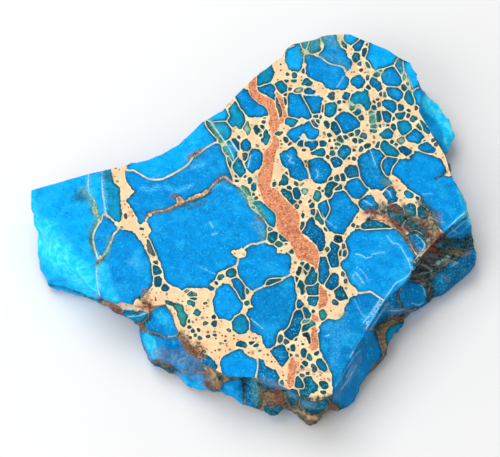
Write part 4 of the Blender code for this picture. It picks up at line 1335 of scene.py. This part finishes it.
    def unwrap(self, mesh: bpy.types.Mesh) -> None:
        """Lays out the OFBake map: upper face largest, wall in strips, sole small."""
        corners = np.array(self.faces)
        wall = np.arange(len(corners)) < self.wall_face_count
        top = self.top[corners].all(1) & ~wall
        sole = ~top & ~wall
        flat = self.points[:, :2] - self.points[:, :2].min(0)
        flat = flat[corners] / flat.max()
        spots = np.empty((len(corners), 3, 2))
        spots[top] = flat[top] * (self.top_share - self.map_gap)
        spots[top, :, 1] += 1 - self.top_share + self.map_gap
        spots[sole] = flat[sole] * (1 - self.top_share - self.map_gap)
        spots[sole] += (self.top_share, self.map_gap)
        bearings, radii = polar(self.points)
        turns = bearings[corners[wall]] / math.tau
        ahead = turns - turns[:, :1]
        turns += np.where(ahead < -0.5, 1.0, np.where(ahead > 0.5, -1.0, 0.0))
        strip = np.floor((turns[:, 0] + 0.5) * self.strips).clip(0, self.strips - 1)[:, None]
        along = (turns + 0.5) * self.strips - strip
        drop = (1 - self.points[:, 2] / THICKNESS) * (1 - self.map_lean)
        drop += (radii - radii.min()) / radii.max() * self.map_lean
        strip_height = (1 - self.top_share) / self.strips - self.map_gap
        inner = 1 - 2 * self.strip_margin
        spots[wall, :, 0] = (self.strip_margin + inner * along) * self.top_share
        up = self.strip_margin + inner * (1 - drop[corners[wall]])
        spots[wall, :, 1] = (strip + up) * strip_height + strip * self.map_gap
        mesh.uv_layers.new(name="OFBake").uv.foreach_set("vector", spots.astype(np.float32).ravel())


class Value:
    """A socket of a shader, with the arithmetic of its Math nodes."""

    def __init__(self, shader: "Shader", socket: bpy.types.NodeSocket) -> None:
        """Wraps a socket."""
        self.shader = shader
        self.socket = socket

    def math(self, operation: str, *others: "Value | float") -> "Value":
        """Adds a Math node whose first input is this value."""
        settings = {"operation": operation}
        return self.shader.node("ShaderNodeMath", settings, dict(enumerate((self, *others))))

    def __add__(self, other: "Value | float") -> "Value":
        """self + other."""
        return self.math("ADD", other)

    def __sub__(self, other: "Value | float") -> "Value":
        """self - other."""
        return self.math("SUBTRACT", other)

    def __rsub__(self, other: float) -> "Value":
        """other - self."""
        return self.shader.node("ShaderNodeMath", {"operation": "SUBTRACT"}, {0: other, 1: self})

    def __mul__(self, other: "Value | float") -> "Value":
        """self * other."""
        return self.math("MULTIPLY", other)

    __radd__ = __add__
    __rmul__ = __mul__

    def ramp(self, low: float, high: float) -> "Value":
        """Rises smoothly from 0 at low to 1 at high; high may be the lower number."""
        if low > high:
            return 1 - self.ramp(high, low)
        inputs = {"Value": self, "From Min": low, "From Max": high}
        return self.shader.node("ShaderNodeMapRange", {"interpolation_type": "SMOOTHSTEP"}, inputs)


Tint = tuple[float, float, float]  # linear red, green and blue


@dataclass(frozen=True)
class Cloud:
    """A cloudy noise over the stone, from 0 to its amount."""

    size: float  # how far apart its swells stand, in millimetres
    detail: float = 3.0  # how many finer octaves it has
    roughness: float = 0.7  # how strong they are
    levels: tuple[float, float] | None = None  # what to stretch to 0 and 1, if anything
    amount: float = 1.0  # its greatest value
    shift: float = 0.0  # moves the reading to another part of the noise


class Shader:
    """A material's node tree, filled by expressions."""

    def __init__(self, name: str) -> None:
        """Makes a new material with a Principled shader on its output."""
        self.material = bpy.data.materials.new(name)
        self.material.use_nodes = True
        self.tree = self.material.node_tree
        self.surface = self.tree.nodes["Principled BSDF"]

    def node(self, kind: str, settings: dict | None = None, inputs: dict | None = None,
             output: str | int = 0) -> Value:
        """Adds a node.

        Args:
            kind: the node's type.
            settings: its properties, set before its sockets.
            inputs: values or links of its sockets, by name or number.
            output: which of its outputs to give back.

        Returns:
            The output, as a value.
        """
        made = self.tree.nodes.new(kind)
        for name, value in (settings or {}).items():
            setattr(made, name, value)
        for name, value in (inputs or {}).items():
            self.feed(made.inputs[name], value)
        return Value(self, made.outputs[output])

    def feed(self, socket: bpy.types.NodeSocket, value: Value | float | Tint) -> None:
        """Links a value to a socket, or sets the socket to a number or a colour."""
        if isinstance(value, Value):
            self.tree.links.new(value.socket, socket)
        elif socket.type == "RGBA":
            socket.default_value = (*value, 1.0)
        else:
            socket.default_value = value

    def mix(self, factor: Value | float, first: Value | Tint, second: Value | Tint,
            blend: str = "MIX") -> Value:
        """Mixes two colours."""
        settings = {"data_type": "RGBA", "blend_type": blend}
        inputs = {"Factor": factor, 6: first, 7: second}
        return self.node("ShaderNodeMix", settings, inputs, output=2)

    def grey(self, level: Value) -> Value:
        """A level as a grey colour."""
        return self.node("ShaderNodeCombineColor", {}, {"Red": level, "Green": level, "Blue": level})

    def attribute(self, name: str, output: str = "Fac") -> Value:
        """Reads one of the mesh's own fields."""
        return self.node("ShaderNodeAttribute", {"attribute_name": name}, output=output)

    @cached_property
    def place(self) -> Value:
        """The point's place on the stone, in millimetres."""
        own = self.node("ShaderNodeTexCoord", output="Object")
        return self.node("ShaderNodeVectorMath", {"operation": "SCALE"}, {0: own, "Scale": 1 / MM})

    def noise(self, cloud: Cloud) -> Value:
        """Lays a cloudy noise over the stone.

        Args:
            cloud: its measures.

        Returns:
            The noise.
        """
        place = self.place
        if cloud.shift:
            inputs = {0: place, 1: (cloud.shift,) * 3}
            place = self.node("ShaderNodeVectorMath", {"operation": "ADD"}, inputs)
        inputs = {"Scale": 1 / cloud.size, "Detail": cloud.detail, "Roughness": cloud.roughness}
        noise = self.node("ShaderNodeTexNoise", {}, {"Vector": place} | inputs)
        if cloud.levels:
            noise = noise.ramp(*cloud.levels)
        return noise if cloud.amount == 1 else noise * cloud.amount

    def grains(self, size: float) -> tuple[Value, Value]:
        """Scattered grains.

        Args:
            size: how far apart they stand, in millimetres.

        Returns:
            The distance to the nearest one's middle, as a share of the size, and that grain's own number.
        """
        inputs = {"Vector": self.place, "Scale": 1 / size}
        gap = self.node("ShaderNodeTexVoronoi", {}, inputs, output="Distance")
        tint = Value(self, gap.socket.node.outputs["Color"])
        return gap, self.node("ShaderNodeSeparateColor", {}, {"Color": tint})

    def bump(self, height: Value, distance: float, strength: float) -> Value:
        """Turns a height into a normal."""
        inputs = {"Height": height, "Distance": distance, "Strength": strength}
        return self.node("ShaderNodeBump", {}, inputs, output="Normal")


def shade(red: float, green: float, blue: float) -> Tint:
    """A display colour, from 0 to 255, as a shader's linear colour."""
    return tuple(float(part) for part in linear((red, green, blue)))


@dataclass(frozen=True)
class Stain:
    """How one mark colours the stone: two tints, the size of its mottling, and how solid it is."""

    mark: Mark
    dark: Tint
    light: Tint
    size: float  # of the mottling, in millimetres
    solid: float  # cover between the mottles
    sharp: float = 0.12  # half the span of noise over which a mottle begins
    most: float = 1.5  # cover on the mottles

    def clouds(self, shift: float) -> tuple[Cloud, Cloud]:
        """The mottles themselves and the change from the dark tint to the light one."""
        mottles = Cloud(self.size, 4.0, levels=(0.5 - self.sharp, 0.5 + self.sharp), shift=shift)
        return mottles, Cloud(self.size * 0.7, levels=(0.4, 0.62), shift=shift)


@dataclass(frozen=True)
class Grain:
    """One kind of small grain in the matrix."""

    size: float  # how far apart they stand, in millimetres
    radius: float  # of a grain, as a share of that
    missing: float  # share of the places that have none
    tint: Tint
    core: float = 0.55  # share of the radius that is wholly the grain's tint
    fade: float = 0.03  # share of the places where it is faint


@dataclass(frozen=True)
class TurquoiseFinish:
    """Blue nodules with dark rinds in a cream matrix, sawn but not polished.

    Depths are millimetres inside a nodule, and negative in the matrix. A pair of them gives where an effect
    fades out and where it is whole.
    """

    cream: Tint = shade(244, 208, 166)
    buff: Tint = shade(232, 188, 144)
    blush: Tint = shade(238, 188, 156)
    mint: Tint = shade(228, 218, 182)
    tan: Tint = shade(204, 182, 138)
    grime: Tint = shade(150, 122, 90)
    silt: Tint = shade(66, 56, 44)
    damp: Tint = shade(54, 84, 86)
    rind: Tint = (0.9, 0.46, 0.38)  # what the blue keeps of itself at a nodule's edge
    outline: Tint = shade(14, 70, 84)
    salmon: Tint = shade(206, 132, 94)
    salmon_dark: Tint = shade(162, 88, 58)
    salmon_pale: Tint = shade(230, 172, 136)
    # the pale blue of brighter patches and of the flecks, which are painted glints off fine saw scratches
    fleck: Tint = shade(50, 200, 250)
    dusk: Tint = shade(0, 66, 120)
    # the pale threads: healed seams, and painted highlights along the rim edges
    chalk_and_highlight: Tint = shade(196, 238, 244)
    grains: tuple[Grain, ...] = (
        Grain(0.5, 0.4, 0.5, shade(74, 66, 42)),
        Grain(0.85, 0.36, 0.6, shade(62, 118, 98)),
    )
    stains: tuple[Stain, ...] = (
        # the fresh-break tints, partly painted highlight where light falls bright on the wall
        Stain(Mark.FRESH_BREAK_AND_HIGHLIGHT, shade(16, 196, 252), shade(78, 230, 255), 1.4, 0.95),
        Stain(Mark.VERDIGRIS, shade(60, 132, 118), shade(120, 178, 150), 0.5, 0.45),
        # the chalk mark's tints, partly painted highlight along the rim edges
        Stain(Mark.CHALK_AND_HIGHLIGHT, shade(36, 166, 234), shade(100, 206, 246), 0.2, 0.0, 0.08),
        Stain(Mark.HAZE, shade(76, 106, 134), shade(108, 144, 178), 0.7, 0.5, 0.3),
        # the soot's tints, partly painted shade in the crevice and along the wall's foot
        Stain(Mark.SOOT_AND_SHADE, shade(18, 36, 42), shade(60, 96, 96), 0.55, 0.75),
        Stain(Mark.UMBER, shade(74, 50, 36), shade(156, 124, 90), 0.4, 0.5),
        Stain(Mark.RUST, shade(88, 40, 34), shade(144, 80, 62), 0.4, 0.5, 0.2),
    )
    blur: float = 0.1  # how far a field can overshoot between the mesh's points
    fray: float = 0.14  # how far the nodules' edges stray
    seam_fray: float = 0.07
    edge: float = 0.045  # half the width over which a nodule gives way to the matrix
    fleck_depth: tuple[float, float] = (0.06, 0.26)
    rind_depth: tuple[float, float] = (0.62, 0.08)
    outline_depth: tuple[float, float] = (0.27, 0.06)
    mint_depth: tuple[float, float] = (-0.22, -0.08)
    grain_depth: tuple[float, float] = (-0.07, -0.17)
    salmon_edge: float = 0.04
    thread_width: tuple[float, float] = (0.09, 0.02)
    thread_fray: float = 0.14
    roughness: float = 0.5
    grain_roughness: float = 0.12  # what the saw's grain adds
    nodule_polish: float = 0.06  # what the nodules take from it
    specular: float = 0.03
    relief: float = 0.03  # height of the finest grain, in millimetres
    relief_strength: float = 0.6
    grain_height: float = 0.5  # share of the relief, as is the next
    nodule_height: float = 0.5
    stray: Cloud = Cloud(0.26)
    core_cloud: Cloud = Cloud(1.3, 4.0, 0.65, amount=0.84)
    core_grain: Cloud = Cloud(0.2, 3.0, 0.75, amount=0.6)
    core_least: float = 0.2  # brightness of the core where both are nothing
    glow: Cloud = Cloud(2.4, 3.0, 0.6, (0.48, 0.7), 0.22, 3.0)
    dusk_patch: Cloud = Cloud(1.1, 2.0, 0.5, (0.46, 0.64))
    dusk_grain: Cloud = Cloud(0.3, 3.0, 0.75, (0.52, 0.38))
    dusk_amount: float = 0.36
    fleck_grain: Cloud = Cloud(0.3, levels=(0.54, 0.63))
    fleck_cluster: Cloud = Cloud(1.4, 3.0, 0.6, (0.45, 0.64), 0.5, 9.0)
    fleck_amount: float = 0.7
    fleck_least: float = 0.2  # share of the flecks outside clusters
    fleck_dim: float = 0.6  # share added in cores whose green is low
    dim_green: tuple[float, float] = (0.22, 0.12)
    broken: Cloud = Cloud(0.6, levels=(0.3, 0.62))  # how whole the rind and its outline are
    rind_cover: tuple[float, float] = (0.3, 0.6)  # at least, and what wholeness adds
    outline_cover: tuple[float, float] = (0.5, 0.5)
    joined_loss: float = 0.7  # share of both that is missing where wide nodules meet
    cream_cloud: Cloud = Cloud(1.4, 4.0, 0.65, (0.36, 0.68))
    blush_cloud: Cloud = Cloud(2.6, 2.0, 0.5, (0.5, 0.72), 0.7)
    cream_grain: Cloud = Cloud(0.22, 3.0, 0.75, amount=0.48)
    cream_least: float = 0.7
    thick: Cloud = Cloud(2.4, 2.0, 0.5, (0.38, 0.58), 0.3, 4.0)  # where the small grains are strongest
    thin: float = 0.65  # their strength elsewhere
    mint_amount: float = 0.35
    tan_cloud: Cloud = Cloud(1.1, 3.0, 0.6, (0.46, 0.6))
    worn_seam: Cloud = Cloud(0.9, levels=(0.42, 0.58), shift=2.0)
    worn_amount: float = 0.4
    seam_amount: float = 0.8
    grime_cloud: Cloud = Cloud(0.42, 4.0, levels=(0.42, 0.58))
    damp_cloud: Cloud = Cloud(0.9, 4.0, levels=(0.5, 0.62), amount=0.8, shift=6.0)
    dirt_cloud: Cloud = Cloud(0.8, 4.0, amount=0.9)
    dirt_least: float = 0.45
    dirt_most: float = 0.92
    salmon_stray: Cloud = Cloud(0.3, 4.0, amount=0.36)
    salmon_cloud: Cloud = Cloud(0.7, 5.0, 0.8, (0.42, 0.62))
    salmon_grain: Cloud = Cloud(0.24, 2.0, 0.5, (0.5, 0.66), 0.8)
    thread_stray: Cloud = Cloud(0.3, 2.0, 0.6)
    thread_worn: Cloud = Cloud(0.5, levels=(0.34, 0.52), shift=5.0)
    saw_grain: Cloud = Cloud(0.16)
    saw_swell: Cloud = Cloud(0.6, 3.0, 0.6, amount=0.8)

    def depth(self, shader: Shader) -> Value:
        """How far inside a nodule a point is, with edges that fray and seams that stay fine."""
        stray = shader.noise(self.stray) - 0.5
        halfway = shader.attribute("split").math("ABSOLUTE") - shader.attribute("seam")
        parted = halfway.math("MAXIMUM", shader.attribute("parted") - self.blur) + self.seam_fray * stray
        return (shader.attribute("free") + self.fray * stray).math("MINIMUM", parted)

    def nodule(self, shader: Shader, depth: Value) -> Value:
        """Colours the nodules: the core, a darker rind where it meets the matrix, and fine flecks that are
        painted glints off saw scratches.

        Args:
            shader: the material's.
            depth: of each point inside a nodule.

        Returns:
            The colour.
        """
        core = shader.attribute("core", "Color")
        level = self.core_least + shader.noise(self.core_cloud) + shader.noise(self.core_grain)
        colour = shader.mix(1.0, core, shader.grey(level), "MULTIPLY")
        colour = shader.mix(shader.noise(self.glow), colour, self.fleck)
        dusk = shader.noise(self.dusk_grain) * shader.noise(self.dusk_patch)
        colour = shader.mix(dusk * self.dusk_amount, colour, self.dusk)
        # painted glints: fine pale flecks where saw scratches catch the light, thickest in clusters and in
        # the bluest cores
        green = shader.node("ShaderNodeSeparateColor", {}, {"Color": core}, output="Green")
        dim = self.fleck_dim * green.ramp(*self.dim_green)
        cover = self.fleck_least + shader.noise(self.fleck_cluster) + dim
        glint_speck = shader.noise(self.fleck_grain) * cover.math("MINIMUM", 1.0)
        colour = shader.mix(glint_speck * self.fleck_amount * depth.ramp(*self.fleck_depth), colour, self.fleck)
        broken = shader.noise(self.broken)
        open_edge = 1 - self.joined_loss * shader.attribute("joined")
        least, more = self.rind_cover
        shadow = depth.ramp(*self.rind_depth) * (least + more * broken) * open_edge
        colour = shader.mix(shadow, colour, shader.mix(1.0, colour, self.rind, "MULTIPLY"))
        least, more = self.outline_cover
        rim = depth.ramp(*self.outline_depth) * (least + more * broken) * open_edge
        return shader.mix(rim, colour, self.outline)

    def matrix(self, shader: Shader, depth: Value) -> Value:
        """Colours what lies between nodules: clouded cream with grains, stained in seams, dirty on the wall.

        Args:
            shader: the material's.
            depth: of each point inside a nodule.

        Returns:
            The colour.
        """
        clean = shader.attribute("clean")
        colour = shader.mix(shader.noise(self.cream_cloud), self.cream, self.buff)
        colour = shader.mix(shader.noise(self.blush_cloud), colour, self.blush)
        shadow = self.cream_least + shader.noise(self.cream_grain)
        colour = shader.mix(1.0, colour, shader.grey(shadow), "MULTIPLY")
        thick = shader.noise(self.thick)
        for grain in self.grains:
            gap, number = shader.grains(grain.size)
            present = number.ramp(grain.missing, grain.missing + grain.fade)
            dot = gap.ramp(grain.radius, grain.radius * grain.core) * present
            cover = dot * depth.ramp(*self.grain_depth) * (self.thin + thick)
            colour = shader.mix(cover, colour, grain.tint)
        mint = depth.ramp(*self.mint_depth) * self.mint_amount * clean
        colour = shader.mix(mint, colour, self.mint)
        seam = shader.mix(shader.noise(self.tan_cloud), self.mint, self.tan)
        worn = shader.noise(self.worn_seam) * shader.attribute("joined")
        seam = shader.mix(worn * self.worn_amount, seam, self.grime)
        colour = shader.mix(shader.attribute("crack") * self.seam_amount * clean, colour, seam)
        colour = self.bands(shader, colour)
        dirt = shader.mix(shader.noise(self.grime_cloud), self.silt, self.grime)
        dirt = shader.mix(shader.noise(self.damp_cloud), dirt, self.damp)
        cover = (1 - clean) * (self.dirt_least + shader.noise(self.dirt_cloud))
        return shader.mix(cover.math("MINIMUM", self.dirt_most), colour, dirt)

    def bands(self, shader: Shader, colour: Value) -> Value:
        """Lays the salmon bands over the matrix's colour."""
        stray = shader.noise(self.salmon_stray) - self.salmon_stray.amount / 2
        depth = shader.attribute("salmon") + stray
        band = shader.mix(shader.noise(self.salmon_cloud), self.salmon, self.salmon_dark)
        band = shader.mix(shader.noise(self.salmon_grain), band, self.salmon_pale)
        return shader.mix(depth.ramp(-self.salmon_edge, self.salmon_edge), colour, band)

    def stain(self, shader: Shader, colour: Value) -> Value:
        """Lays the marks' stains, painted highlights and painted shade, and the fine chalk threads, which are
        partly painted highlights, over everything.

        Args:
            shader: the material's.
            colour: of the stone without them.

        Returns:
            The stone's colour.
        """
        for number, stain in enumerate(self.stains):
            mottles, change = stain.clouds(shift=11.0 * (number + 1))
            cover = stain.solid + (stain.most - stain.solid) * shader.noise(mottles)
            strength = shader.attribute(stain.mark.value) * cover
            tint = shader.mix(shader.noise(change), stain.dark, stain.light)
            colour = shader.mix(strength.math("MINIMUM", 1.0), colour, tint)
        gap = shader.attribute("thread").math("ABSOLUTE")
        gap = gap.math("MAXIMUM", shader.attribute("thread_gap") - self.blur)
        gap += self.thread_fray * shader.noise(self.thread_stray) - self.thread_fray / 2
        thread = gap.ramp(*self.thread_width) * shader.noise(self.thread_worn)
        thread *= shader.attribute("thread_strength")
        return shader.mix(thread, colour, self.chalk_and_highlight)

    def make(self) -> bpy.types.Material:
        """Makes the material."""
        shader = Shader("turquoise_in_matrix")
        depth = self.depth(shader)
        inside = depth.ramp(-self.edge, self.edge)
        colour = shader.mix(inside, self.matrix(shader, depth), self.nodule(shader, depth))
        grain = shader.noise(self.saw_grain)
        gloss = self.roughness + self.grain_roughness * grain - self.nodule_polish * inside
        height = self.grain_height * grain + shader.noise(self.saw_swell) + self.nodule_height * inside
        shader.feed(shader.surface.inputs["Base Color"], self.stain(shader, colour))
        shader.feed(shader.surface.inputs["Roughness"], gloss)
        normal = shader.bump(height, self.relief * MM, self.relief_strength)
        shader.feed(shader.surface.inputs["Normal"], normal)
        shader.feed(shader.surface.inputs["Specular IOR Level"], self.specular)
        return shader.material


@dataclass(frozen=True)
class Lamp:
    """A square area light aimed at the stone, in metres and watts."""

    name: str
    position: tuple[float, float, float]
    size: float
    power: float

    def make(self) -> None:
        """Hangs the light."""
        data = bpy.data.lights.new(self.name, "AREA")
        data.size = self.size
        data.energy = self.power
        lamp = bpy.data.objects.new(self.name, data)
        lamp.location = self.position
        lamp.rotation_euler = (-Vector(self.position)).to_track_quat("-Z", "Y").to_euler()
        bpy.context.scene.collection.objects.link(lamp)


@dataclass(frozen=True)
class Studio:
    """A pale floor under soft lights, in metres."""

    floor_size: float = 1.2
    floor_colour: Tint = shade(221, 221, 221)
    floor_roughness: float = 0.9
    lamps: tuple[Lamp, ...] = (
        Lamp("key", (-0.16, 0.22, 0.44), 0.4, 1.95),
        Lamp("fill", (-0.38, -0.24, 0.26), 0.5, 1.8),
    )
    sky: float = 0.565  # strength of the white light from all round

    def floor(self) -> None:
        """Lays a wide pale floor at the sole."""
        mesh = bpy.data.meshes.new("floor")
        half = self.floor_size / 2
        corners = [(-half, -half, 0), (half, -half, 0), (half, half, 0), (-half, half, 0)]
        mesh.from_pydata(corners, [], [(0, 1, 2, 3)])
        shader = Shader("studio_floor")
        shader.feed(shader.surface.inputs["Base Color"], self.floor_colour)
        shader.feed(shader.surface.inputs["Roughness"], self.floor_roughness)
        mesh.materials.append(shader.material)
        floor = bpy.data.objects.new("floor", mesh)
        bpy.context.scene.collection.objects.link(floor)

    def make(self) -> None:
        """Lays the floor, hangs the lights and sets the sky."""
        self.floor()
        for lamp in self.lamps:
            lamp.make()
        world = bpy.data.worlds.new("studio")
        world.use_nodes = True
        background = world.node_tree.nodes["Background"]
        background.inputs["Color"].default_value = (1.0, 1.0, 1.0, 1.0)
        background.inputs["Strength"].default_value = self.sky
        bpy.context.scene.world = world
        bpy.context.scene.view_settings.view_transform = "Standard"


def main() -> None:
    """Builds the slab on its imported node, dresses it, and sets the studio round it."""
    camera = StoneCamera()
    camera.make()
    face = Pattern(NODULES, BEADS, camera.unit)
    wall = Pattern(WALL_NODULES, {}, camera.unit)
    slab = SlabMesh(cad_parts[NODE], camera, face, wall).build()
    slab.data.materials.append(TurquoiseFinish().make())
    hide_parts(NODE)
    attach(slab, "root")
    log.info("slab: %d points, %d nodules", len(slab.data.vertices), len(face.shapes) + len(wall.shapes))
    studio = Studio()
    studio.make()
    log.info("studio: floor and %d lamps", len(studio.lamps))


if __name__ == "__main__":
    main()
